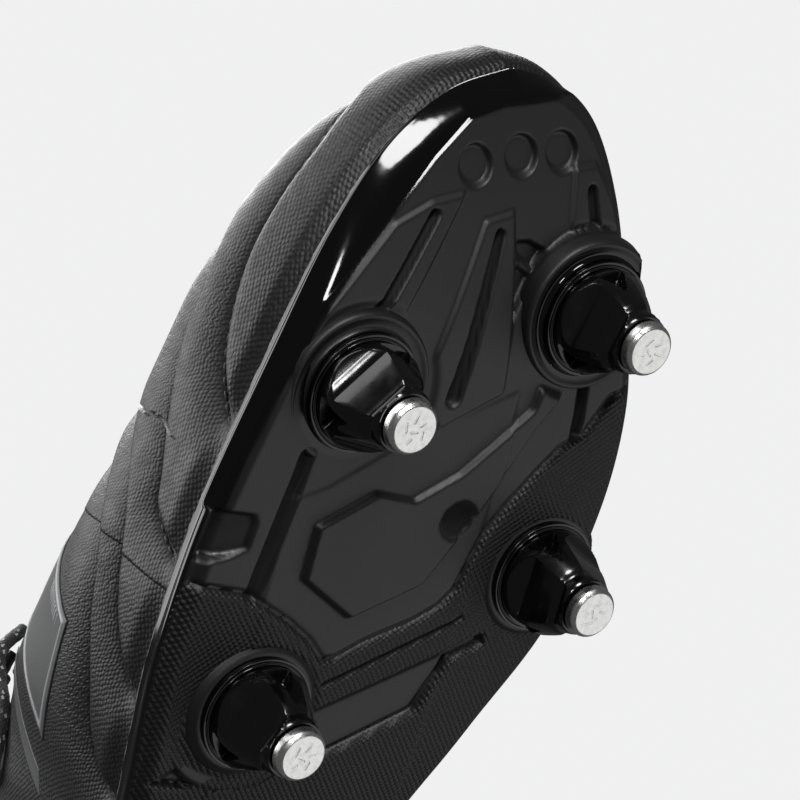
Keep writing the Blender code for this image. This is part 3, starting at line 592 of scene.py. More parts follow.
def plate_look():
    """Satin tread, polished rim and knurled pads, by the plate's own masks; the deep mask paints shade
    into the slots, the notch and the dimple.
    """
    look = Look("plate_nylon", (0.005, 0.005, 0.005), 0.4)
    pad, rim = look.mask("pad"), look.mask("rim")
    grain = look.noise(look.space(900), 1, 2)
    satin = look.span(grain, 0.40, 0.50)
    rough = look.maths("MULTIPLY", satin, look.span(rim, 1.0, 0.16))
    rough = look.maths("ADD", rough, look.span(pad, 0.0, 0.06))
    # Painted shade: where the deep mask is, the tread is coloured near-black and made rougher, standing
    # in for shade in the slots, notch and dimple.
    look.put("Roughness", look.maths("ADD", rough, look.span(look.mask("deep"), 0.0, 0.5)))
    tone = look.blend(rim, (0.008, 0.008, 0.0083), (0.0015, 0.0015, 0.0016))
    tone = look.blend(pad, tone, (0.006, 0.006, 0.0062))
    look.put("Base Color", look.blend(look.mask("deep"), tone, (0.001, 0.001, 0.001)))
    knurl = look.cells(look.uv((104, 104, 1), math.radians(38)), random=0.12)
    knurl = look.maths("MULTIPLY", look.span(knurl, 1.0, 0.0, 0.1, 0.6), pad)
    fine = look.maths("MULTIPLY", look.noise(look.space(2600), 1, 2), look.span(rim, 1.0, 0.05))
    look.put("Normal", look.bump(knurl, 0.22, 1.0, look.bump(fine, 0.03, 0.5)))
    return look.material


def stud_look():
    look = Look("stud_nylon", (0.0022, 0.0022, 0.0023), 0.12, Coat_Weight=0.3, Coat_Roughness=0.05)
    scuff = look.noise(look.space(240), 1, 6)
    look.put("Roughness", look.span(scuff, 0.08, 0.24, 0.35, 0.7))
    look.put("Normal", look.bump(look.noise(look.space(700), 1, 2), 0.015, 0.5))
    return look.material


def metal_look(name, colour, rough, scale, strength):
    """A turned metal: fine rings across the radius, with worn patches."""
    look = Look(name, colour, rough, 1.0)
    rings = look.wave(look.uv((1, scale, 1)), 1.5, bands_direction="Y")
    wear = look.noise(look.space(900), 1, 5)
    look.put("Roughness", look.span(wear, rough - 0.06, rough + 0.16, 0.3, 0.75))
    dark = tuple(0.86 * c for c in colour)
    look.put("Base Color", look.blend(look.span(wear, 0, 1, 0.45, 0.75), colour, dark))
    look.put("Normal", look.bump(rings, strength, 0.35))
    return look.material


def skin_look():
    """Coated leather with a fine raised grain in leaning rows, and painted shade in the stitched
    grooves.
    """
    look = Look("upper_skin", (0.016, 0.016, 0.017), 0.42, Specular_IOR_Level=0.5)
    grain = look.cells(look.uv((98, 124, 1), math.radians(-28)), random=0.4)
    bead = look.span(grain, 1.0, 0.0, 0.08, 0.72)
    crease = look.noise(look.uv((30, 30, 1)), 1, 3)
    tone = look.blend(bead, (0.004, 0.004, 0.0043), (0.012, 0.012, 0.0125))
    # Painted shade: the stitched grooves are coloured near-black and made duller.
    look.put("Base Color", look.blend(look.mask("groove_shade"), tone, (0.001, 0.001, 0.001)))
    dull = look.maths("MULTIPLY", look.mask("groove_shade"), 0.5)
    look.put("Roughness", look.maths("ADD", look.span(crease, 0.40, 0.52, 0.3, 0.7), dull))
    ripple = look.wave(look.uv((28, 3, 1), math.radians(10)), 2.2)
    ripple = look.maths("MULTIPLY", ripple, look.mask("foot"))
    fine = look.bump(bead, 0.10, 0.8, look.bump(crease, 0.05, 0.4))
    look.put("Normal", look.bump(ripple, 0.09, 0.8, fine))
    return look.material


def flash_look():
    """Grey film, pale where it is raised."""
    look = Look("flash_silver", (0.20, 0.205, 0.21), 0.42, 0.1)
    fleck = look.noise(look.uv((240, 240, 1)), 1, 2)
    ground = look.blend(look.span(fleck, 0, 1, 0.35, 0.65), (0.115, 0.117, 0.120),
                        (0.150, 0.152, 0.156))
    look.put("Base Color", look.blend(look.mask("line"), ground, (0.48, 0.485, 0.50)))
    look.put("Normal", look.bump(fleck, 0.03, 0.6))
    return look.material


def knit_look(name, dark, pale, pitch, depth, sheen=0.25):
    """A knitted or woven face: crossing ribs with loose fibre between."""
    look = Look(name, dark, 0.9, Sheen_Weight=sheen, Sheen_Roughness=0.5)
    rows = UV_UNIT / pitch / 6.283
    warp = look.wave(look.uv((rows, 0, 1)), 0.0)
    weft = look.wave(look.uv((0, rows, 1)), 0.0, bands_direction="Y")
    weave = look.maths("MULTIPLY", warp, weft)
    fibre = look.noise(look.uv((700, 700, 1)), 1, 3)
    look.put("Base Color", look.blend(look.maths("MULTIPLY", weave, fibre), dark, pale))
    look.put("Normal", look.bump(weave, depth, 0.9, look.bump(fibre, 0.08, 0.5)))
    return look.material


def lace_look():
    """Black braid with a pale fleck here and there."""
    look = Look("lace_polyester", (0.012, 0.012, 0.013), 0.75, Sheen_Weight=0.2)
    place = look.uv((110, 170, 1), math.radians(30))
    fleck = look.cells(place, random=0.5, output="Color")
    fleck = look.span(fleck, 0, 1, 0.80, 0.84)
    strand = look.cells(place, random=0.3)
    look.put("Base Color", look.blend(fleck, (0.012, 0.012, 0.013), (0.42, 0.42, 0.43)))
    look.put("Normal", look.bump(look.span(strand, 1, 0, 0.0, 0.7), 0.16, 0.9))
    return look.material


def rough_look(name, colour, rough, scale, depth):
    """A plain mottled material for foam, board and stiffener."""
    look = Look(name, colour, rough)
    speck = look.noise(look.space(scale), 1, 4)
    deep = tuple(0.55 * c for c in colour)
    look.put("Base Color", look.blend(look.span(speck, 0, 1, 0.35, 0.65), deep, colour))
    look.put("Normal", look.bump(speck, depth, 0.8))
    return look.material


def sock_look():
    """A knitted sockliner face with rows of air holes, painted dark inside as shade."""
    look = Look("sockliner_foam", (0.02, 0.02, 0.022), 0.9, Sheen_Weight=0.3)
    knit = look.cells(look.uv((120, 120, 1)), random=0.2)
    hole = look.cells(look.uv((14, 14, 1), math.radians(45)), random=0.0)
    hole = look.span(hole, 1, 0, 0.10, 0.14)
    # Painted shade: the air holes are coloured near-black.
    look.put("Base Color", look.blend(hole, (0.026, 0.026, 0.029), (0.002, 0.002, 0.002)))
    lift = look.maths("SUBTRACT", look.span(knit, 1, 0, 0, 0.7), look.maths("MULTIPLY", hole, 4.0))
    look.put("Normal", look.bump(lift, 0.15, 0.8))
    return look.material


def thread_look():
    look = Look("thread", (0.022, 0.022, 0.023), 0.5, Sheen_Weight=0.4)
    twist = look.wave(look.uv((150, 150, 1), math.radians(35)), 0.0)
    look.put("Normal", look.bump(twist, 0.05, 0.8))
    return look.material


def bond_look():
    look = Look("cement", (0.30, 0.30, 0.31), 0.5)
    patch = look.noise(look.space(260), 1, 4)
    share = look.span(patch, 0, 1, 0.42, 0.58)
    look.put("Base Color", look.blend(share, (0.03, 0.03, 0.03), (0.42, 0.42, 0.43)))
    return look.material


LOOKS = {
    "plate_nylon": plate_look(),
    "stud_nylon": stud_look(),
    "tip_aluminium": metal_look("tip_aluminium", (0.86, 0.86, 0.85), 0.24, 95, 0.02),
    "post_steel": metal_look("post_steel", (0.55, 0.56, 0.58), 0.30, 40, 0.02),
    "insert_brass": metal_look("insert_brass", (0.72, 0.55, 0.26), 0.32, 60, 0.03),
    "upper_skin": skin_look(),
    "flash_silver": flash_look(),
    "lining_textile": knit_look("lining_textile", (0.018, 0.018, 0.02), (0.07, 0.07, 0.075),
                                0.9, 0.22),
    "foam": rough_look("foam", (0.25, 0.25, 0.24), 0.95, 1800, 0.4),
    "stiffener": rough_look("stiffener", (0.55, 0.52, 0.46), 0.7, 300, 0.1),
    "board_fibre": rough_look("board_fibre", (0.45, 0.38, 0.28), 0.85, 500, 0.1),
    "sockliner_foam": sock_look(),
    "lace_polyester": lace_look(),
    "aglet_plastic": stud_look(),
    "thread": thread_look(),
    "cement": bond_look(),
}


def refinish(name, look):
    """A CAD node keeps its mesh and takes a finish."""
    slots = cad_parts[name].data.materials
    slots.clear()
    slots.append(LOOKS[look])


def place(obj, body, slot, replaces=(), look=None):
    """Give a piece its finish, looked up by slot unless look is given, and its body, and hide the CAD
    nodes it stands for.
    """
    if not obj.data.materials:
        obj.data.materials.append(LOOKS[look or slot])
    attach(obj, body)
    if replaces:
        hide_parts(*replaces)
    return obj


# ------------------------------------------------------------------------------ camera and light
CAMERA_PLACE = np.array([0.2130, -0.2850, -0.3406])
CAMERA_RIGHT = Vector((0.24769, 0.81136, -0.52948)).normalized()
CAMERA_AHEAD = Vector((-0.28044, 0.58316, 0.76242)).normalized()
CAMERA_UP = CAMERA_RIGHT.cross(CAMERA_AHEAD)
CAMERA_LENS = 118.9


def make_camera():
    data = bpy.data.cameras.new("camera")
    data.lens = CAMERA_LENS
    data.sensor_width = 36
    data.clip_end = 20
    camera = bpy.data.objects.new("camera", data)
    turn = Matrix((CAMERA_RIGHT, CAMERA_UP, -CAMERA_AHEAD)).transposed().to_4x4()
    camera.matrix_world = Matrix.Translation(CAMERA_PLACE) @ turn
    bpy.context.scene.collection.objects.link(camera)
    bpy.context.scene.camera = camera


LIGHTS = [                # right, up and towards the camera; distance, size and radiance
    ("tread_panel", (0.81, -0.56, 0.16), 1.3, 2.0, 0.75),
    ("high_box", (0.03, 0.42, 0.90), 1.2, 0.20, 26.0),
    ("toe_box", (0.26, 0.67, 0.55), 1.2, 0.34, 22.0),
    ("left_box", (-0.82, 0.42, -0.38), 1.4, 1.2, 2.9),
    ("crown_box", (-0.45, 0.85, 0.10), 1.4, 0.9, 2.4),
    ("back_light", (-0.20, 0.50, -0.85), 1.5, 1.0, 7.0),
]


def make_lights():
    for name, (right, up, near), distance, size, radiance in LIGHTS:
        data = bpy.data.lights.new(name, "AREA")
        data.shape = "DISK"
        data.size = size
        data.energy = radiance * math.pi * math.pi * size**2 / 4
        way = (CAMERA_RIGHT * right + CAMERA_UP * up - CAMERA_AHEAD * near).normalized()
        light = bpy.data.objects.new(name, data)
        light.matrix_world = (Matrix.Translation(way * distance)
                              @ way.to_track_quat("Z", "Y").to_matrix().to_4x4())
        bpy.context.scene.collection.objects.link(light)
    world = bpy.data.worlds.new("studio")
    world.use_nodes = True
    world.node_tree.nodes["Background"].inputs["Color"].default_value = (1, 1, 1, 1)
    world.node_tree.nodes["Background"].inputs["Strength"].default_value = 0.08
    bpy.context.scene.world = world
    bpy.context.scene.view_settings.view_transform = "Standard"


FLOOR_HALF, BACKDROP_R = 3000, 8     # millimetres, metres


def make_stage():
    """A pale floor seen only from above, and a pale shell all round that only the camera sees."""
    corners = [(-1, -1, 0), (1, -1, 0), (1, 1, 0), (-1, 1, 0)]
    floor = add_mesh("floor", FLOOR_HALF * np.array(corners), [(0, 1, 2, 3)])
    look = Look("floor", (0.80, 0.80, 0.80), 0.7)
    tree = look.tree
    mix = look.node("ShaderNodeMixShader")
    clear = look.node("ShaderNodeBsdfTransparent")
    back = look.node("ShaderNodeNewGeometry").outputs["Backfacing"]
    tree.links.new(back, mix.inputs[0])
    tree.links.new(look.shader.outputs[0], mix.inputs[1])
    tree.links.new(clear.outputs[0], mix.inputs[2])
    tree.links.new(mix.outputs[0], tree.nodes["Material Output"].inputs["Surface"])
    floor.data.materials.append(look.material)
    bm = bmesh.new()
    bmesh.ops.create_uvsphere(bm, u_segments=48, v_segments=24, radius=BACKDROP_R)
    mesh = bpy.data.meshes.new("backdrop")
    bm.to_mesh(mesh)
    bm.free()
    shell = bpy.data.objects.new("backdrop", mesh)
    bpy.context.scene.collection.objects.link(shell)
    glow = Look("backdrop", (0, 0, 0), 1.0)
    glow.set("Emission Color", (0.87, 0.87, 0.875, 1))
    glow.set("Emission Strength", 1.0)
    mesh.materials.append(glow.material)
    for obj in (floor, shell):
        obj.visible_diffuse = False
        obj.visible_glossy = False
        obj.visible_transmission = False
        obj.visible_shadow = False
    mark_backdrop(floor, shell)


# ------------------------------------------------------------------------------ plate
def distance_to(line, x, y, closed=False):
    """How far plan points are from a polyline, open or closed."""
    line = np.array(line, float)
    if closed:
        line = np.vstack([line, line[:1]])
    best = np.full(x.shape, FAR)
    for a, b in zip(line, line[1:]):
        d = b - a
        t = np.clip(((x - a[0]) * d[0] + (y - a[1]) * d[1]) / max(d @ d, 1e-9), 0, 1)
        best = np.minimum(best, np.hypot(x - a[0] - t * d[0], y - a[1] - t * d[1]))
    return best


def inside(outline, x, y):
    """Signed distance to a closed outline, above zero inside it."""
    pts = np.array(outline, float)
    hit = np.zeros(x.shape, bool)
    for a, b in zip(pts, np.roll(pts, -1, 0)):
        if a[1] != b[1]:
            crossing = a[0] + (y - a[1]) * (b[0] - a[0]) / (b[1] - a[1])
            hit ^= ((a[1] > y) != (b[1] > y)) & (x < crossing)
    gap = distance_to(outline, x, y, closed=True)
    return np.where(hit, gap, -gap)


def bevelled(gap, height, soft=0.45):
    """A panel's height from its signed distance: a short sloping side, then flat."""
    return height * smoothstep(-soft, soft, gap)


def slot_gap(slot, x, y):
    """Signed distance to a straight slot that widens from one end to the other."""
    (ax, ay), (bx, by), start, stop, _ = slot
    dx, dy = bx - ax, by - ay
    t = np.clip(((x - ax) * dx + (y - ay) * dy) / (dx * dx + dy * dy), 0, 1)
    return start + (stop - start) * t - np.hypot(x - ax - t * dx, y - ay - t * dy)


def heelward(line, x, y, reach=400):
    """Signed distance to a line across the plate, above zero on its heel side."""
    line = list(line)
    outline = line + [(-reach, line[-1][1]), (-reach, line[0][1])]
    return inside(outline, x, y)


def pad_gap(x, y):
    """Signed distance to the knurled pads, above zero on them."""
    front = np.minimum(heelward(PAD_LINE, x, y), -heelward(ARCH_LINE, x, y))
    gap = np.maximum(front, heelward(HEEL_LINE[::-1], x, y))
    for outline, _ in SUNK[1:3]:
        gap = np.minimum(gap, -inside(outline, x, y))
    return gap


def kind_of(name):
    return "front" if name.startswith("front") else "rear"


def seat_height(height):
    """How high over the ground a stud's seat on the plate lies."""
    return height + 2 * CLEAR + WASHER_T


MOUNDS = {                           # radius and height over the seat, where the plate swells
    "front": [(0, -.2), (11.0, -.4), (12.2, -1.5), (14.2, -1.6), (16.2, -9)],
    "rear": [(0, -.2), (11.3, -.3), (12.6, -1.1), (15.0, -2.3), (17.5, -2.9), (20, -9)],
}


def boss_height(x, y, bottom):
    """How far the studs' bosses stand out, and where they are: the front two are dished."""
    rise = np.zeros(x.shape)
    near = np.zeros(x.shape)
    for name, (sx, sy, height) in STUDS.items():
        r = np.hypot(x - sx, y - sy)
        shape = MOUNDS[kind_of(name)]
        level = np.maximum(bottom - seat_height(height) + table(shape, r), 0)
        reach = shape[-1][0]
        rise = np.where(r < reach, np.maximum(rise, level), rise)
        near = np.maximum(near, smoothstep(reach, 12.0, r))
    return rise, near


FRONT_STUDS = [name for name in STUDS if kind_of(name) == "front"]


def nearest(names, x, y):
    """How far plan points are from the nearest axis of the named studs."""
    return np.min([np.hypot(x - STUDS[name][0], y - STUDS[name][1]) for name in names], 0)


def dimple_share(x, y):
    return np.hypot(x - DIMPLE[0], y - DIMPLE[1]) / DIMPLE_R


def relief_over(x, y, pads):
    """Height of the panels, pads, slots and dishes over the tread's plain surface."""
    quiet = smoothstep(*BOSS_MARGIN, nearest(FRONT_STUDS, x, y))
    relief = np.zeros(x.shape)
    for outline, height in RAISED:
        relief += bevelled(inside(outline, x, y), height, 0.5) * quiet
    relief += bevelled(heelward(STEP_LINE, x, y), STEP_HEIGHT, 0.3)
    for outline, depth in SUNK:
        relief -= bevelled(inside(outline, x, y), depth, 0.55)
    outer = np.clip((NOTCH_BEND - y) / 9, 0, 1)
    relief -= bevelled(inside(NOTCH, x, y), 1, 0.6) * (NOTCH_DEPTH + NOTCH_FALL * outer)
    for slot in SLOTS + [BAR]:
        relief -= bevelled(slot_gap(slot, x, y), slot[4])
    for cx, cy in TOE_DISHES:
        relief -= bevelled(TOE_DISH_R - np.hypot(x - cx, y - cy), TOE_DISH_DEPTH)
    relief -= DIMPLE_DEPTH * np.sqrt(np.clip(1 - dimple_share(x, y)**2, 0, 1))
    groove = PAD_GROOVE * np.exp(-((pads + 0.4) / 0.45)**2)
    return relief + (PAD_RISE * smoothstep(-0.3, 1.2, pads) - groove)


def edge_drop(edge, rim_gap):
    """How far the tread falls back toward its edge, most of all across the rim."""
    share = np.clip(rim_gap / (np.maximum(rim_gap, 0) + edge + 1e-6), 0, 1)
    drop = RIM_DROP * share**1.7 + RIM_STEP * smoothstep(-0.1, 0.7, rim_gap)
    return np.maximum(drop, EDGE_DROP * (1 - smoothstep(0, EDGE_REACH, edge)))


def plate_height(x, y):
    """The tread's height, and masks of its polished rim, its knurled pads and the painted shade of its
    slots, notch and dimple.
    """
    bottom = table(PLATE_BOTTOM, x)
    outline = np.vstack([EDGES["lateral"], EDGES["medial"][::-1]])
    edge = distance_to(outline[::3], x, y)
    rise, near = boss_height(x, y, bottom)
    calm = 1 - smoothstep(0.0, 0.5, rise)
    fade = smoothstep(0.0, 1.5, edge)
    pads, rim_gap = pad_gap(x, y), inside(RIM_LINE + RIM_OUTSIDE, x, y)
    relief = relief_over(x, y, pads)
    raised = np.where(rise > 0, np.maximum(rise, relief * calm * fade), relief * fade)
    z = bottom + edge_drop(edge, rim_gap) - raised
    notch = inside(NOTCH, x, y)
    rim = np.maximum(smoothstep(-0.15, 0.25, rim_gap), smoothstep(0.0, 0.5, notch))
    polish = np.maximum(rim, near * smoothstep(13.0, 12.0, nearest(FRONT_STUDS, x, y)))
    knurl = smoothstep(-0.1, 0.5, pads) * smoothstep(11.2, 11.9, nearest(STUDS, x, y))
    # Where the tread is painted dark as shade: the slots, the notch and the dimple.
    hollow_shade = [smoothstep(-0.1, 0.4, slot_gap(slot, x, y)) for slot in SLOTS]
    hollow_shade += [smoothstep(0.1, 0.8, notch), smoothstep(0.95, 0.8, dimple_share(x, y))]
    return z, polish, knurl, np.max(hollow_shade, 0)


TREAD_COLUMNS, WALL_ROWS = 176, 9


def make_plate():
    """A closed loft of rings across the boot, finest under the forefoot."""
    u = np.r_[0.004, np.linspace(0.012, 0.47, 110)[:-1], np.linspace(0.47, 0.988, 320),
              np.linspace(0.989, 0.997, 5)]
    a, b = edge_point("lateral", u), edge_point("medial", u)
    width = np.linalg.norm(b - a, axis=1)[:, None]
    share = np.linspace(0, 1, TREAD_COLUMNS)[None, :, None]
    tread = a[:, None] + (b - a)[:, None] * share
    # deep marks the slots, notch and dimple, which the plate's material paints dark as painted shade.
    z, polish, pads, deep = plate_height(tread[..., 0], tread[..., 1])
    low = flat(tread, z)
    across = (b - a) / width

    def wall(start, sign, ground):
        rows = []
        edge_top = table(EDGE_TOP, start[:, 0]) - 0.1
        for t in np.linspace(0.12, 1, WALL_ROWS):
            out = 0.45 * math.sin(math.pi * min(1.6 * t, 1)) - 0.3 * t
            rows.append(flat(start - sign * across * out, ground + (edge_top - ground) * t))
        return rows

    def shelf(start, sign):
        rows = []
        for inset, top in ((2.5, None), (RIM_WIDTH, None), (RIM_WIDTH + 1, FLOOR), (15, FLOOR)):
            reach = np.minimum(inset, INSET_LIMIT * width[:, 0])[:, None]
            spot = start + sign * across * reach
            level = table(EDGE_TOP, spot[:, 0]) - 0.1 if top is None else (
                table(PLATE_BOTTOM, spot[:, 0]) + top)
            rows.append(flat(spot, level))
        return rows

    medial = wall(b, -1, low[:, -1, 2]) + shelf(b, -1)
    lateral = wall(a, 1, low[:, 0, 2]) + shelf(a, 1)
    rings = np.concatenate([low, np.stack(medial + lateral[::-1], 1)], 1)
    count = rings.shape[1]
    extra = count - low.shape[1]
    polish = np.concatenate([polish, np.ones((len(u), extra))], 1)
    pads, deep = (np.concatenate([m, np.zeros((len(u), extra))], 1) for m in (pads, deep))
    faces = grid_faces(len(u), count, closed=True).tolist()
    faces.append(list(range(count))[::-1])
    faces.append(list(range((len(u) - 1) * count, len(u) * count)))
    obj = add_mesh("outsole", rings, faces, rings[..., :2] / UV_UNIT,
                   {"rim": polish, "pad": pads, "deep": deep})
    mend(obj, turn=True)
    obj.data.set_sharp_from_angle(angle=math.radians(80))
    place(obj, "boot", "plate_nylon", ["outsole_plate"])


BORE_R, BOSS_DEPTH, BORE_DEPTH, BOSS_TURNS = 5.3, 4.2, 1.5, 128
BOSS_SHINE = {"front_medial": 12.9}  # radius of the polished part, where it isn't the usual one
USUAL_SHINE = 11.7
BOSSES = {                           # radius and height over the seat, from the bore outward
    "front": [(BORE_R, 0), (11.25, 0), (11.5, -.45), (12.1, -.85), (12.9, -.75), (13.7, -.45),
              (14.2, -.55), (14.7, -1.3), (15.3, -3.4)],
    "rear": [(BORE_R, 0), (11.4, 0), (11.9, -.15), (12.5, -.6), (13.4, -1.5), (14.3, -3.4)],
}


def plate_reach(x, y):
    """How far the plate reaches from a point, in each direction round a boss."""
    outline = np.vstack([EDGES["lateral"][::4], EDGES["medial"][::-4]])
    angle, r = np.meshgrid(round_angles(BOSS_TURNS), np.linspace(6, 18, 121))
    hit = inside(outline, x + r * np.cos(angle), y + r * np.sin(angle)) > 0.5
    return np.where(hit, r, 0).max(0)


def make_bosses():
    """The turned seats round the studs, polished inside; the front two have a soft dish."""
    for name, (x, y, height) in STUDS.items():
        limit = plate_reach(x, y)
        seat = seat_height(height)
        shape = np.array(BOSSES[kind_of(name)])
        curve = np.vstack([shape[:2], spline(shape[1:], 5)[1:]])
        face = [(r, seat - z) for r, z in curve]
        back = seat + BOSS_DEPTH
        profile = [(BORE_R, seat + BORE_DEPTH)] + face + [(face[-1][0], back), (BORE_R, back)]
        shine = BOSS_SHINE.get(name, USUAL_SHINE)
        polish = np.repeat([smoothstep(shine, shine - 0.6, r) for r, _ in profile], BOSS_TURNS)
        clip = lambda r, z, angle: (np.minimum(r, limit), z)
        boss = lathe(f"boss_{name}", profile, (x, y), BOSS_TURNS, clip, 40, {"rim": polish})
        place(boss, "boot", "plate_nylon")


BOND_R, BOND_INSET, BOND_WAVER = 0.13, 0.45, 0.12


def make_bond_line():
    """The thin cement line that shows where the upper meets the plate."""
    for side in SIDES:
        u = np.linspace(0.0, 1.0, 420)
        edge, out = edge_point(side, u), outward(side, u)
        line = flat(edge - out * BOND_INSET, table(EDGE_TOP, edge[:, 0]) + 0.10)
        line[:, 2] += BOND_WAVER * np.sin(u * 211) * np.sin(u * 67)
        obj, _ = braid(f"bond_line_{side}", line, BOND_R, step=1.0, turns=8, lift=0.0)
        place(obj, "boot", "upper_skin", look="cement")


# ------------------------------------------------------------------------------ studs
FLAT_CUT = 0.23                      # share of the radius that the middle of a flat loses
POCKET_DEPTH, POCKET_HALF, POCKET_END = 2.6, 3.1, 7.6


def stud_shape(height, phase):
    """Three flats between three round ribs, and a pocket for the spanner high on each rib."""

    def shape(r, z, angle):
        third = FULL_TURN / 3
        turn = np.abs((angle - phase + third / 2) % third - third / 2)
        down = height - z
        outer = r > 3.2
        flat_share = smoothstep(0.6, 4.5, down) * (1 - smoothstep(11.0, 13.2, down))
        plane = r * (1 - FLAT_CUT * flat_share) / np.cos(math.pi / 3 - turn)
        body = np.where(outer, np.minimum(r, plane), r)
        open_share = np.clip((POCKET_END - down) / 6.0, 0, 1)
        wall = smoothstep(-0.1, 0.35, POCKET_HALF * open_share - turn * STUD_R)
        band = smoothstep(1.2, 1.5, down) * (1 - smoothstep(7.3, POCKET_END, down))
        cut = POCKET_DEPTH * open_share**0.7 * wall * band
        return np.where(outer, body - cut, r), z

    return shape


def make_stud(name, x, y, height):
    """One stud on its axis: nylon body, metal tip, threaded post and washer."""
    make_stud_body(name, x, y, height)
    make_tip(name, x, y)
    make_post(name, x, y, height)
    make_washer(name, x, y, height)


def make_stud_body(name, x, y, top):
    """The nylon body, from its flat top with a bore for the post down to the tip's seat."""
    outer = [(STUD_R, top - 2.6), (9.75, top - 4.6), (8.75, top - 7.0), (7.3, top - 9.8),
             (6.3, 5.0), (5.95, 3.9)]
    head = [(AXIS_R, top - POST_SEAT), (POST_R + CLEAR, top - POST_SEAT), (POST_R + CLEAR, top),
            (STUD_R - 0.35, top), (STUD_R - 0.1, top - 0.12)]
    wall = [(STUD_R, z) for z in np.linspace(top - 0.3, top - 2.5, 9)]
    foot = [(5.75, 3.4), (5.5, 3.1), (5.5, 2.9), (3.0, 2.9), (3.0, 5.4), (AXIS_R, 5.4)]
    profile = head + wall + [tuple(p) for p in spline(outer, 9)] + foot
    shape = stud_shape(top, math.radians(PHASES[name]))
    shell = lathe(f"stud_{name}", profile, (x, y), 180, shape, sharp=28)
    place(shell, f"stud_{name}", "stud_nylon", [f"stud_{name}"])


def make_post(name, x, y, height):
    """The threaded post; its thread is a ridge that climbs one pitch in each turn."""

    def thread(r, z, angle):
        turns = z / THREAD_PITCH - angle / FULL_TURN
        cut = THREAD_CUT * np.abs((turns % 1) * 2 - 1)
        return np.where((r > 2.3) & (z > height + 0.2), r - cut, r), z

    low, high = height - POST_SEAT, height + POST_REACH
    rod = [(POST_R, z) for z in np.linspace(low + 0.6, high - 0.7, 150)]
    profile = ([(AXIS_R, low + CLEAR), (POST_R - 0.2, low + CLEAR)] + rod
               + [(POST_R - 0.6, high), (AXIS_R, high)])
    post = lathe(f"stud_{name}_post", profile, (x, y), 40, thread, sharp=60)
    place(post, f"stud_{name}", "post_steel", [f"stud_{name}_post"])


def make_washer(name, x, y, height):
    """The ring that the stud presses on the plate."""
    seat, bore = height + CLEAR, POST_R + 0.6
    profile = rounded([(bore, seat + .5), (bore, seat), (STUD_R + .15, seat),
                       (STUD_R + .25, seat + .28), (STUD_R + .5, seat + .1), (WASHER_R, seat + .15),
                       (WASHER_R, seat + WASHER_T), (bore, seat + WASHER_T), (bore, seat + .5)], 0.12)
    washer = lathe(f"stud_{name}_washer", profile, (x, y), 96)
    place(washer, f"washer_{name}", "stud_nylon", [f"stud_{name}_washer"])


STAMPS = [                           # short dashes struck in the metal: place, direction, length
    (-1.7, 1.2, 20, 1.6), (0.3, 1.7, 75, 1.2), (1.9, 0.6, 40, 1.7), (-0.5, -0.3, 110, 1.3),
    (1.1, -1.6, 15, 1.8), (-1.8, -1.5, 60, 1.2),
]


def stamp_depth(x, y):
    depth = np.zeros(x.shape)
    for px, py, turn, length in STAMPS:
        c, s = math.cos(math.radians(turn)), math.sin(math.radians(turn))
        end = length / 2
        gap = slot_gap(((px - c * end, py - s * end), (px + c * end, py + s * end), .14, .14, 0), x, y)
        depth = np.maximum(depth, smoothstep(-0.16, 0.1, gap))
    return depth


def make_tip(name, x, y):
    """The metal cap: a struck flat face, a bright bevel and a rolled edge."""
    face = [(r, 0.02) for r in np.linspace(AXIS_R, 3.9, 46)]
    edge = rounded([(3.9, 0.02), (4.25, 0.04), (4.85, 0.62), (TIP_R, 1.0), (TIP_R + 0.1, 2.3),
                    (4.9, 2.6), (2.7, 2.6), (2.7, 5.1), (AXIS_R, 5.1)], 0.18)[1:]
    turn = math.radians(2 * PHASES[name])

    def strike(r, z, angle):
        depth = stamp_depth(r * np.cos(angle + turn), r * np.sin(angle + turn))
        return r, np.where((r < 4.0) & (z < 0.1), z + 0.1 * depth, z)

    tip = lathe(f"stud_{name}_tip", list(face) + [tuple(p) for p in edge], (x, y), 120, strike, 50)
    place(tip, f"stud_{name}", "tip_aluminium", [f"stud_{name}_tip"])


def make_studs():
    for name, (x, y, height) in STUDS.items():
        make_stud(name, x, y, height)
        refinish(f"stud_{name}_insert", "insert_brass")


# ------------------------------------------------------------------------------ upper panels
def channel_lines(side):
    """The channels as lines on the upper's surface."""
    return [upper_point(side, *spline(c, 10).T) for c in CHANNELS]


def seam_gap(line, side, points, normals):
    """Signed distance to one channel over the surface, above zero on the side of the rim."""
    best = np.full(points.shape[:-1], FAR)
    for a, b in zip(line, line[1:]):
        d = b - a
        t = np.clip((points - a) @ d / max(d @ d, 1e-9), 0, 1)
        delta = points - a - t[..., None] * d
        gap = np.linalg.norm(delta, axis=-1)
        lower = np.sum(np.cross(normals, d) * delta, -1) * (-1 if side == "lateral" else 1)
        best = np.where(gap < np.abs(best), gap * np.where(lower < 0, -1, 1), best)
    return best


def padding(side, u, v):
    return ribs(side, u, v)[0]


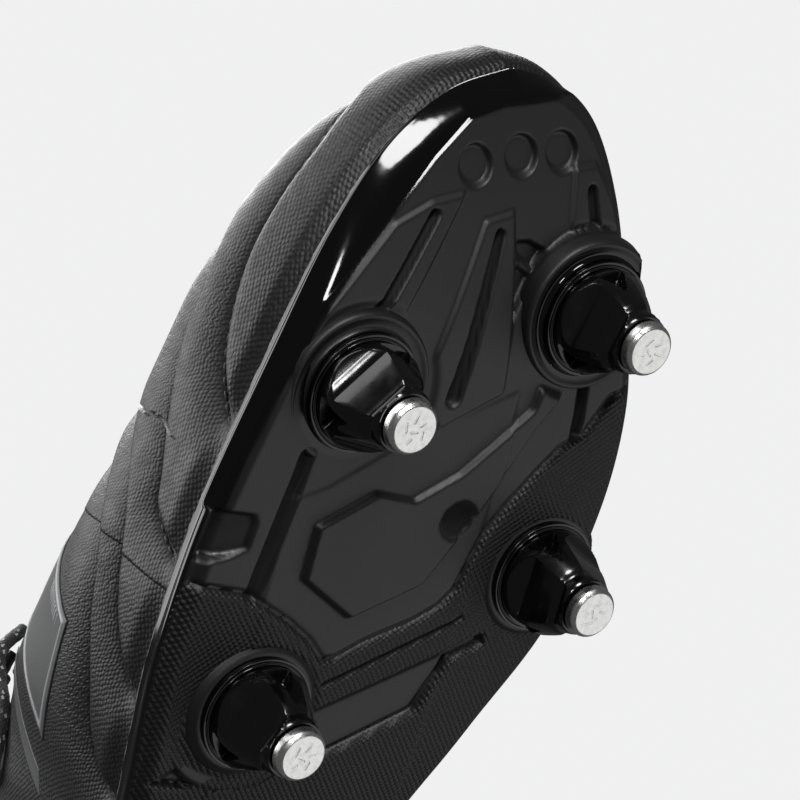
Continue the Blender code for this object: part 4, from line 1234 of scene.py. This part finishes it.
def ribs(side, u, v):
    """Height over the upper's surface, and a mask of the stitched grooves, which the skin paints dark as
    shade.

    Each rib rises steeply under a channel, then falls away to the next one."""
    points, normals = upper_point(side, u, v), upper_normal(side, u, v)
    full = np.ones(points.shape[:-1])
    groove = np.zeros(points.shape[:-1])
    for line in channel_lines(side):
        gap = seam_gap(line, side, points, normals)
        steep = np.clip((gap - SEAM_HALF) / STEEP, 0, 1)
        gentle = np.clip((-gap - SEAM_HALF) / GENTLE, 0, 1)
        rise = np.where(gap > 0, np.sqrt(1 - (1 - steep)**2), 1 - (1 - gentle)**2)
        full = np.minimum(full, rise)
        groove = np.maximum(groove, np.exp(-((np.abs(gap) - SEAM_HALF) / SEAM_WIDTH)**2))
    near = smoothstep(.40, .50, u) * smoothstep(0.0, 0.05, v) * (1 - 0.45 * smoothstep(.8, 1, u))
    stay = smoothstep(.60, .66, v) * (1 - smoothstep(THROAT_FRONT, THROAT_FRONT + .04, u))
    near = near * (1 - stay)
    height = (full * PUFF - SINK - SEAM_DEPTH * groove) * near
    return height - 0.7 * smoothstep(.80, .95, u) * smoothstep(.05, .2, v), groove * near


SIDE_HEIGHT = 88.0


def sheet_uv(side, u, v):
    """Coordinates in units of 100 mm: length along the boot, height up the side."""
    return np.stack([u * length_of(EDGES[side]), v * SIDE_HEIGHT], -1) / UV_UNIT


def panel(name, sides, u0, u1, top, steps, height, lift=0.0, bottom=None, skip=None):
    """Grids of one panel for its sides: u from u0 to u1, v from bottom(u) to top(u)."""
    grids, uvs, flips, keeps, feet, groove_shades = [], [], [], [], [], []
    for side in sides:
        s, t = unit_grid(*steps)
        u = u0 + (u1 - u0) * s
        low = bottom(u) if bottom else 0 * u
        v = low + (top(u) - low) * t
        v = np.where(v > 0.9999, 1.0, v)
        points = on_upper(side, u, v, height(side, u, v) + lift)
        grids.append(points)
        uvs.append(sheet_uv(side, u, v))
        rise = np.linalg.norm(np.diff(points, axis=1), axis=-1)
        uvs[-1][:, 1:, 1] = uvs[-1][:, :1, 1] + np.cumsum(rise, 1) / UV_UNIT
        feet.append((1 - smoothstep(.03, .30, v)) * smoothstep(.78, .92, u))
        # This mask carries the painted shade of the stitched grooves to the skin's material.
        groove_shades.append(ribs(side, u, v)[1] if bottom is None else 0 * u)
        flips.append(side == "lateral")
        if skip:
            keeps.append(skip(side, face_middles(points)))
    masks = {"foot": feet, "groove_shade": groove_shades}
    return join_grids(name, grids, uvs, flips, masks, keeps if skip else None)


def face_middles(points):
    return (points[1:, 1:] + points[:-1, :-1]) / 2


def place_skin(obj, node):
    thicken(obj, SKIN_SHEET)
    place(obj, "boot", "upper_skin", [node])


def eyelet_centres(side, height=0.0):
    return on_upper(side, np.array(EYELETS), EYELET_V, np.full(len(EYELETS), height))


def eyelet_gap(middle, centres):
    return np.min([np.linalg.norm(middle - c, axis=-1) for c in centres], 0)


def clear_of_eyelets(side, middle):
    return eyelet_gap(middle, eyelet_centres(side)) > EYELET_R + HOLE_GAP


def make_vamp():
    """The forefoot panel, ribbed by its channels, joined over the toe and the ridge."""
    top = lambda u: np.where(u < THROAT_FRONT, STAY_LOW + 0.03, 1.0)
    place_skin(panel("vamp", SIDES, VAMP_SEAM, 1.0, top, (184, 134), padding), "vamp")


def make_quarters():
    """The two sides, and the panel that joins them round the heel."""
    plain = lambda side, u, v: padding(side, u, v) + 0.5 * smoothstep(.12, .2, u) * np.sin(
        math.pi * np.clip(v, 0, 1)) * (1 - smoothstep(.40, .5, u))
    top = lambda u: 1 - (1 - STAY_LOW - 0.03) * smoothstep(CORNER - .006, CORNER + .012, u)
    for side in SIDES:
        under = lambda side, u, v: plain(side, u, v) - 0.12 * smoothstep(.605, VAMP_SEAM, u)
        obj = panel(f"quarter_{side}", [side], HEEL_SEAM, VAMP_SEAM + .008, top, (260, 130), under)
        place_skin(obj, f"quarter_{side}")
    heel = lambda side, u, v: 0.35 + 0.5 * smoothstep(.0, .06, HEEL_SEAM - u) * np.sin(math.pi * v)
    full = lambda u: 1.0 + 0 * u
    obj = panel("heel_panel", SIDES, 0.0, HEEL_SEAM + .006, full, (60, 110), heel)
    place_skin(obj, "heel_panel")


def make_eyestays():
    """The lace rows: a raised facing with a punched ring at each hole."""
    low = lambda u: STAY_LOW - 0.02 + 0.06 * smoothstep(.66, .70, u)
    top = lambda u: STAY_EDGE + 0 * u
    edge = lambda side, u, v: 0.15 * np.sin(math.pi * np.clip((v - STAY_LOW) / .18, 0, 1))
    for side in SIDES:
        obj = panel(f"eyestay_{side}", [side], CORNER - .004, THROAT_FRONT + .004, top, (190, 42),
                    edge, lift=0.9, bottom=low, skip=clear_of_eyelets)
        thicken(obj, SKIN)
        place(obj, "boot", "upper_skin", [f"eyestay_{side}"])
        for k, centre in enumerate(eyelet_centres(side, 1.0)):
            n = upper_normal(side, EYELETS[k], EYELET_V)
            make_ring(f"eyelet_{side}_{k + 1}", centre, n)


def make_ring(name, centre, n):
    """A flat rolled ring round a lace hole."""
    a = unit(np.cross(n, UP))
    b = np.cross(n, a)
    angle = round_angles(28)[:, None, None]
    turn = round_angles(10)[None, :]
    reach = EYELET_R + 0.45 + 0.55 * np.cos(turn)
    lift = 0.32 * np.sin(turn)
    around = a * np.cos(angle) + b * np.sin(angle)
    points = centre + around * reach[..., None] + n * lift[..., None]
    points = np.concatenate([points, points[:1]], 0)
    points = np.concatenate([points, points[:, :1]], 1)
    uv = np.zeros(points.shape[:2] + (2,))
    place(join_grids(name, [points], [uv], [False]), "boot", "aglet_plastic")


FILM_SIZE, BORDER, RUNGS = (25, 32), (0.9, 1.7), (.80, .90)    # mm, mm, share of the width
RUNG_COUNT, FILM_LIFT, FILM_RISE, FILM_THICK = 27, 0.30, 0.22, 0.25


def make_flashes():
    """Grey film on each side: one framed panel, and one plain narrow strip behind it."""
    for side in SIDES:
        film(f"side_flash_{side}", side, [(.470, .24), (.555, .27), (.525, .60), (.60, .60)],
             True, (90, 160))
        film(f"side_line_{side}", side, [(.436, .25), (.449, .25), (.488, .60), (.500, .60)],
             False, (16, 120))


def film(name, side, corners, framed, steps):
    """A patch of film; a framed one has a raised pale border and a row of rungs inside it."""
    foot0, foot1, top0, top1 = (np.array(c) for c in corners)
    s, t = unit_grid(*steps)
    across, up = s[..., None], t[..., None]
    spot = (foot0 + (foot1 - foot0) * across) * (1 - up) + (top0 + (top1 - top0) * across) * up
    u, v = spot[..., 0], spot[..., 1]
    raised = np.zeros(s.shape)
    if framed:
        edge = np.minimum(np.minimum(s, 1 - s) * FILM_SIZE[0], np.minimum(t, 1 - t) * FILM_SIZE[1])
        raised = smoothstep(-.25, .25, np.minimum(edge - BORDER[0], BORDER[1] - edge))
        band = smoothstep(-.01, .01, np.minimum(s - RUNGS[0], RUNGS[1] - s))
        rungs = smoothstep(-.2, .2, np.sin(t * FULL_TURN * RUNG_COUNT)) * smoothstep(.12, .2, t)
        raised = np.maximum(raised, band * rungs * (1 - smoothstep(.45, .55, t)))
    points = on_upper(side, u, v, padding(side, u, v) + FILM_LIFT + FILM_RISE * raised)
    obj = join_grids(name, [points], [sheet_uv(side, u, v)], [side == "lateral"],
                     {"line": [raised]})
    thicken(obj, FILM_THICK)
    place(obj, "boot", "flash_silver", [name])


# ------------------------------------------------------------------------------ stitching
def stitches(name, lines):
    """Short thread lengths laid along lines of (point, normal) pairs, as one piece."""
    points, faces = [], []
    ring = round_angles(6)
    for line, normal in lines:
        at = distances(line)
        for k in range(int(at[-1] / STITCH_STEP)):
            middle = (k + 0.5) * STITCH_STEP
            ends = [middle - STITCH_LONG / 2, middle + STITCH_LONG / 2]
            a, b = (np.array([np.interp(e, at, c) for c in line.T]) for e in ends)
            n = unit(np.array([np.interp(ends[0], at, c) for c in normal.T]))
            across = np.cross(unit(b - a), n)
            faces.append(grid_faces(len(STITCH_SHAPE), len(ring), closed=True, start=len(points)))
            for t, grow, rise in STITCH_SHAPE:
                centre = a + (b - a) * t + n * rise
                points += [centre + STITCH_R * grow * (across * math.cos(r) + n * math.sin(r))
                           for r in ring]
    points = np.array(points)
    obj = add_mesh(name, points, np.concatenate(faces), points[:, [0, 2]] / UV_UNIT)
    return place(obj, "boot", "lace_polyester", look="thread")


def surface_line(side, spots, height, offset=0.0, toe_drop=0.0):
    """A line over the upper through (u, v) spots, moved sideways by offset, with its normals."""
    uv = spline(spots, 16)
    toe = smoothstep(.80, .95, uv[:, :1]) * (toe_drop + 0.45 * height)
    height = height - toe
    base = upper_point(side, uv[:, 0], uv[:, 1])
    normal = upper_normal(side, uv[:, 0], uv[:, 1])
    across = unit(np.cross(unit(np.gradient(base, axis=0)), normal))
    return base + across * offset + normal * height, normal


def make_stitching():
    """Rows of thread along the channels, the eyestays, the collar and the heel panel."""
    lines = []
    for side in SIDES:
        for channel in CHANNELS:
            for offset in (-SEAM_HALF, SEAM_HALF):
                lines.append(surface_line(side, channel, -SINK - 0.1, offset, .7))
        for v in (.715, .845):
            run = [(u, v) for u in np.linspace(CORNER + .004, .695, 12)]
            lines.append(surface_line(side, run, 1.15))
        for v in (.945, .965):
            run = [(u, v) for u in np.linspace(.014, CORNER - .006, 16)]
            lines.append(surface_line(side, run, 0.5 if v > .95 else 0.55))
        for u in (HEEL_SEAM - .004, HEEL_SEAM - .012):
            run = [(u, v) for v in np.linspace(0.04, .93, 10)]
            lines.append(surface_line(side, run, 0.75))
    stitches("stitching", lines)


# ------------------------------------------------------------------------------ inside
def make_linings():
    """The textile inside. Round the collar it rolls over the padding to meet the skin."""
    for name, u0, u1, front in (("quarter_lining", 0.0, VAMP_SEAM, False),
                                ("vamp_lining", VAMP_SEAM, 1.0, True)):
        grids, uvs, flips, keeps = [], [], [], []
        for side in SIDES:
            s, t = np.meshgrid(np.linspace(u0, u1, 150), np.linspace(0, 1, 70), indexing="ij")
            if front:
                reach = np.where(s < THROAT_FRONT, STAY_EDGE, 1.0)
            else:
                reach = 1 - (1 - STAY_EDGE) * smoothstep(CORNER - .004, CORNER + .006, s)
            v = np.where(t * reach > .9999, 1.0, t * reach)
            depth = lining_depth(s, v)
            points = on_upper(side, s, v, -depth)
            if not front:
                points = np.concatenate([points, collar_roll(side, s[:, 0], points[:, -1])], 1)
                s = np.concatenate([s, np.repeat(s[:, -1:], 8, 1)], 1)
                v = np.concatenate([v, 1 + np.arange(1, 9) * .02 + 0 * v[:, -1:]], 1)
            grids.append(points)
            uvs.append(sheet_uv(side, s, v))
            flips.append(side == "lateral")
            gap = eyelet_gap(face_middles(points), eyelet_centres(side, -3.5))
            keeps.append(gap > EYELET_R + LINING_HOLE_GAP)
        obj = join_grids(name, grids, uvs, flips, keep=keeps)
        thicken(obj, LINING * 0.8)
        place(obj, "boot", "lining_textile", [name])


def collar_roll(side, u, inner):
    """Points from the lining's top edge over the collar to the skin, eight to a column."""
    outer = on_upper(side, u, 1.0, np.full(len(u), -0.9))
    soft = (1 - smoothstep(CORNER - .02, CORNER + .004, u))[:, None]
    middle, half = (inner + outer) / 2, (outer - inner) / 2
    rise = np.linalg.norm(half, axis=1, keepdims=True) * 1.1
    rows = []
    for k in range(1, 9):
        a = math.pi * (1 - k / 8)
        spot = middle + half * math.cos(a) + UP * rise * math.sin(a)
        rows.append(inner + (spot - inner) * soft)
    return np.stack(rows, 1)


def make_collar_padding():
    """The foam under the collar, full in the middle and thin at its edges."""
    grids, uvs = [], []
    u = np.linspace(0.0, .37, 70)
    t = np.linspace(0, 1, 24)
    for side in SIDES:
        s, w = np.meshgrid(u, t, indexing="ij")
        v = STAY_LOW + 0.01 + (0.985 - STAY_LOW) * w
        thin = np.sin(math.pi * np.clip(w, 0.02, 0.98))**0.35
        fade = 1 - smoothstep(.33, .37, s) * 0.8
        outer = on_upper(side, s, v, 0 * s - SKIN - GAP)
        inner = on_upper(side, s, v, -(SKIN + GAP + 0.3 + (PAD_DEPTH + 0.2) * thin * fade))
        grids += [outer, inner]
        uvs += [sheet_uv(side, s, v)] * 2
    obj = join_grids("collar_padding", grids, uvs, [True, False, False, True], merge=0.35)
    place(obj, "boot", "foam", ["collar_padding"])


def tongue_rows():
    rows = []
    for u in (.73, .70, .66, .62, .58, .54, .50, .46):
        half = np.array([TONGUE_V, .72, .82])
        deep = np.full(3, -TONGUE_DEPTH)
        middle = on_ridge(u, -TONGUE_DEPTH)[None]
        rows.append(np.concatenate([on_upper("lateral", u, half, deep), middle,
                                    on_upper("medial", u, half, deep)[::-1]]))
    last = rows[-1]
    centre = last[3]
    for back, rise, width, lower in TONGUE_TOP:
        rows.append(np.stack([np.full(7, centre[0] - back),
                              centre[1] + (last[:, 1] - centre[1]) * width,
                              centre[2] + rise + (last[:, 2] - centre[2]) * lower], -1))
    return np.array(rows)


def make_tongue():
    """A padded tongue: outer and inner faces that meet in a bound edge."""
    rows = tongue_rows()
    under = []
    for i, row in enumerate(rows):
        way = rows[min(i + 1, len(rows) - 1)][3] - rows[max(i - 1, 0)][3]
        inward = unit(np.array([-way[2], 0, way[0]]))
        turn = np.array(TONGUE_TURN)[:, None]
        under.append(row + (inward * np.sqrt(1 - turn**2) + np.array([0, 1, 0]) * turn) * TONGUE_THICK)
    under = np.array(under)

    top, low = fine_grid(rows, 9), fine_grid(under, 9)
    tip = np.linspace(0, 1, len(top))[:, None]
    narrow = np.sqrt(1 - 0.75 * np.clip((tip - .90) / .10, 0, 1)**2)
    for face in (top, low):
        middle_y = face[:, face.shape[1] // 2, 1][:, None]
        face[..., 1] = middle_y + (face[..., 1] - middle_y) * narrow
    share = np.linspace(0, 1, top.shape[1])[None, :, None]
    along_it = np.linspace(0, 1, top.shape[0])[:, None, None]
    border = smoothstep(0, .10, share) * smoothstep(0, .10, 1 - share) * smoothstep(0, .04, 1 - along_it)
    quilt = 0.25 * np.cos(FULL_TURN * along_it * 9)
    full = 0.5 + 0.5 * border
    middle = (top + low) / 2
    top2 = middle + (top - middle) * (full * (1 + 0.12 * quilt * border))
    low2 = middle + (low - middle) * full
    ring = np.concatenate([top2, low2[:, ::-1]], 1)
    uv = np.concatenate([top[..., [0, 1]], low[:, ::-1][..., [0, 1]]], 1) / UV_UNIT
    obj = mend(add_mesh("tongue", ring, cushion_faces(ring), uv), turn=True)
    place(obj, "boot", "lining_textile", ["tongue"])


def make_sockliner():
    """The footbed: a thin cushion whose top falls lower at its edges."""
    u = np.linspace(.095, .905, 150)
    a, b = edge_point("lateral", u), edge_point("medial", u)
    width = np.linalg.norm(b - a, axis=1)[:, None]
    across = (b - a) / width
    inset = np.minimum(FOOTBED_INSET, INSET_LIMIT * width)
    start, stop = a + across * inset, b - across * inset
    share = np.linspace(0, 1, 60)[None, :, None]
    spot = start[:, None] + (stop - start)[:, None] * share
    base = table(PLATE_BOTTOM, spot[..., 0]) + FLOOR + 0.8 + BOARD_THICK
    side = np.abs(share[..., 0] * 2 - 1)
    top = flat(spot, base + SOCKLINER_THICK * (1 - 0.35 * smoothstep(0.94, 1, side)))
    low = flat(spot, base)
    ring = np.concatenate([top, low[:, ::-1]], 1)
    obj = add_mesh("sockliner", ring, cushion_faces(ring), ring[..., :2] / UV_UNIT, sharp=50)
    place(obj, "boot", "sockliner_foam", ["sockliner"])


def make_hidden_layers():
    """Nodes that the outer pieces cover keep their CAD meshes, with a finish of their own."""
    for name, slot in (("insole_board", "board_fibre"), ("toe_puff", "stiffener"),
                       ("heel_counter", "stiffener")):
        refinish(name, slot)


# ------------------------------------------------------------------------------ laces
def lace_half(first):
    """One half of the criss-cross: out of eyelet 1 of its side, up to the top eyelet."""
    sides = SIDES if first == "lateral" else SIDES[::-1]
    path = []
    for i, u in enumerate(EYELETS):
        side, other = sides[i % 2], sides[(i + 1) % 2]
        path += [on_upper(side, u, EYELET_V, LACE_UNDER), on_upper(side, u, EYELET_V, LACE_OVER)]
        if i + 1 < len(EYELETS):
            after = EYELETS[i + 1]
            high = (first == "lateral") == (i % 2 == 0)
            path += [on_upper(side, u + 0.15 * (after - u), .89, LACE_OVER),
                     on_ridge((u + after) / 2, CROSS_HIGH if high else CROSS_LOW),
                     on_upper(other, u + 0.85 * (after - u), .89, LACE_UNDER)]
    return path


def knot_end(side):
    away = -1 if side == "lateral" else 1
    return on_ridge(KNOT_U, KNOT_HEIGHT - 2.0) + np.array([0, away * 7.6, 0])


def make_laces():
    left, right = lace_half("lateral"), lace_half("medial")
    ends = {"lateral": right, "medial": left}          # five crossings swap the sides
    for side, path in ends.items():
        path += [on_upper(side, .480, .87, 3.4), knot_end(side)]
    bar = on_ridge(EYELETS[0], LACE_UNDER)
    route = spline(left[::-1] + [bar] + right, 5)
    lace, _ = braid("lace", route, LACE_R)
    place(lace, "boot", "lace_polyester", ["lace"])
    make_knot()
    for side in SIDES:
        loop = spline([on_upper(side, *p) for p in LOOP], 10)
        tail = spline([on_upper(side, *p) for p in TAIL], 10)
        free_cord(f"lace_loop_{side}", loop)
        way = unit(tail[-1] - tail[-2])
        aglet = make_aglet(f"aglet_{side}", tail[-1] + way * 0.4, way)
        free_cord(f"lace_tail_{side}", tail)


def free_cord(name, line):
    obj, path = braid(name, line, LACE_R)
    place(obj, "boot", "lace_polyester", [name])
    path = (path + SHIFT) * MM


def make_aglet(name, start, way):
    """The sheath on a lace's end, crimped in two places."""
    at = np.linspace(0, AGLET_LENGTH, 60)
    line = start + way * at[:, None]
    crimp = 0.10 * sum(np.exp(-((at - spot) / .6)**2) for spot in CRIMPS)
    r = (LACE_R + AGLET_WALL) * (1 - crimp)
    r[0] = r[-1] = 0.02
    angle = round_angles(24)
    uv = np.stack([at[:, None] + 0 * angle, angle + 0 * at[:, None]], -1) / UV_UNIT
    faces = grid_faces(len(line), len(angle), closed=True)[:, ::-1]
    obj = add_mesh(name, tube(line, r[:, None], len(angle)), faces, uv, sharp=50)
    return place(obj, "boot", "aglet_plastic", [name])


def make_knot():
    """The bow's knot: the lace wound twice round the crossing of its loops."""
    centre = on_ridge(KNOT_U, KNOT_HEIGHT)
    n = upper_normal("lateral", KNOT_U, 1.0)
    across = np.array([0.0, 1, 0])
    front = unit(np.cross(n, across))
    t = np.linspace(0, 1, 90)[:, None]
    a = FULL_TURN * KNOT_TURNS * t
    line = (centre + across * (t - 0.5) * KNOT_WIDTH + front * KNOT_DEEP * np.cos(a)
            + n * KNOT_TALL * np.sin(a))
    obj, _ = braid("lace_knot", line, LACE_R)
    place(obj, "boot", "lace_polyester", ["lace_knot"])


def make_pull_tab():
    """A webbing tab sewn up the back of the heel."""
    web = [[on_upper("lateral", .014, v, 1.5), on_upper("lateral", 0.0, v, 1.5),
            on_upper("medial", .014, v, 1.5)] for v in (.70, .80, .90, 1.0)]
    for lift in (4, 8):
        web.append([p + np.array([1.0, 0, lift]) for p in web[3]])
    grid = fine_grid(web, 8)
    rows, columns = grid.shape[:2]
    s = np.linspace(0, TAB_SIZE[0], columns)[None, :] + np.zeros((rows, 1))
    t = np.linspace(0, TAB_SIZE[1], rows)[:, None] + np.zeros((1, columns))
    obj = join_grids("pull_tab", [grid], [np.stack([s, t], -1) / UV_UNIT], [True])
    thicken(obj, 1.0)
    place(obj, "boot", "lace_polyester", ["pull_tab"], look="lining_textile")


# ------------------------------------------------------------------------------ run
make_camera()
make_laces()
make_lights()
make_stage()
make_plate()
make_bosses()
make_bond_line()
make_studs()
make_vamp()
make_quarters()
make_eyestays()
make_flashes()
make_stitching()
make_linings()
make_collar_padding()
make_tongue()
make_sockliner()
make_hidden_layers()
make_pull_tab()

low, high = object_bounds()
{"cad": [list(cad_low), list(cad_high)], "visual": [list(low), list(high)]}
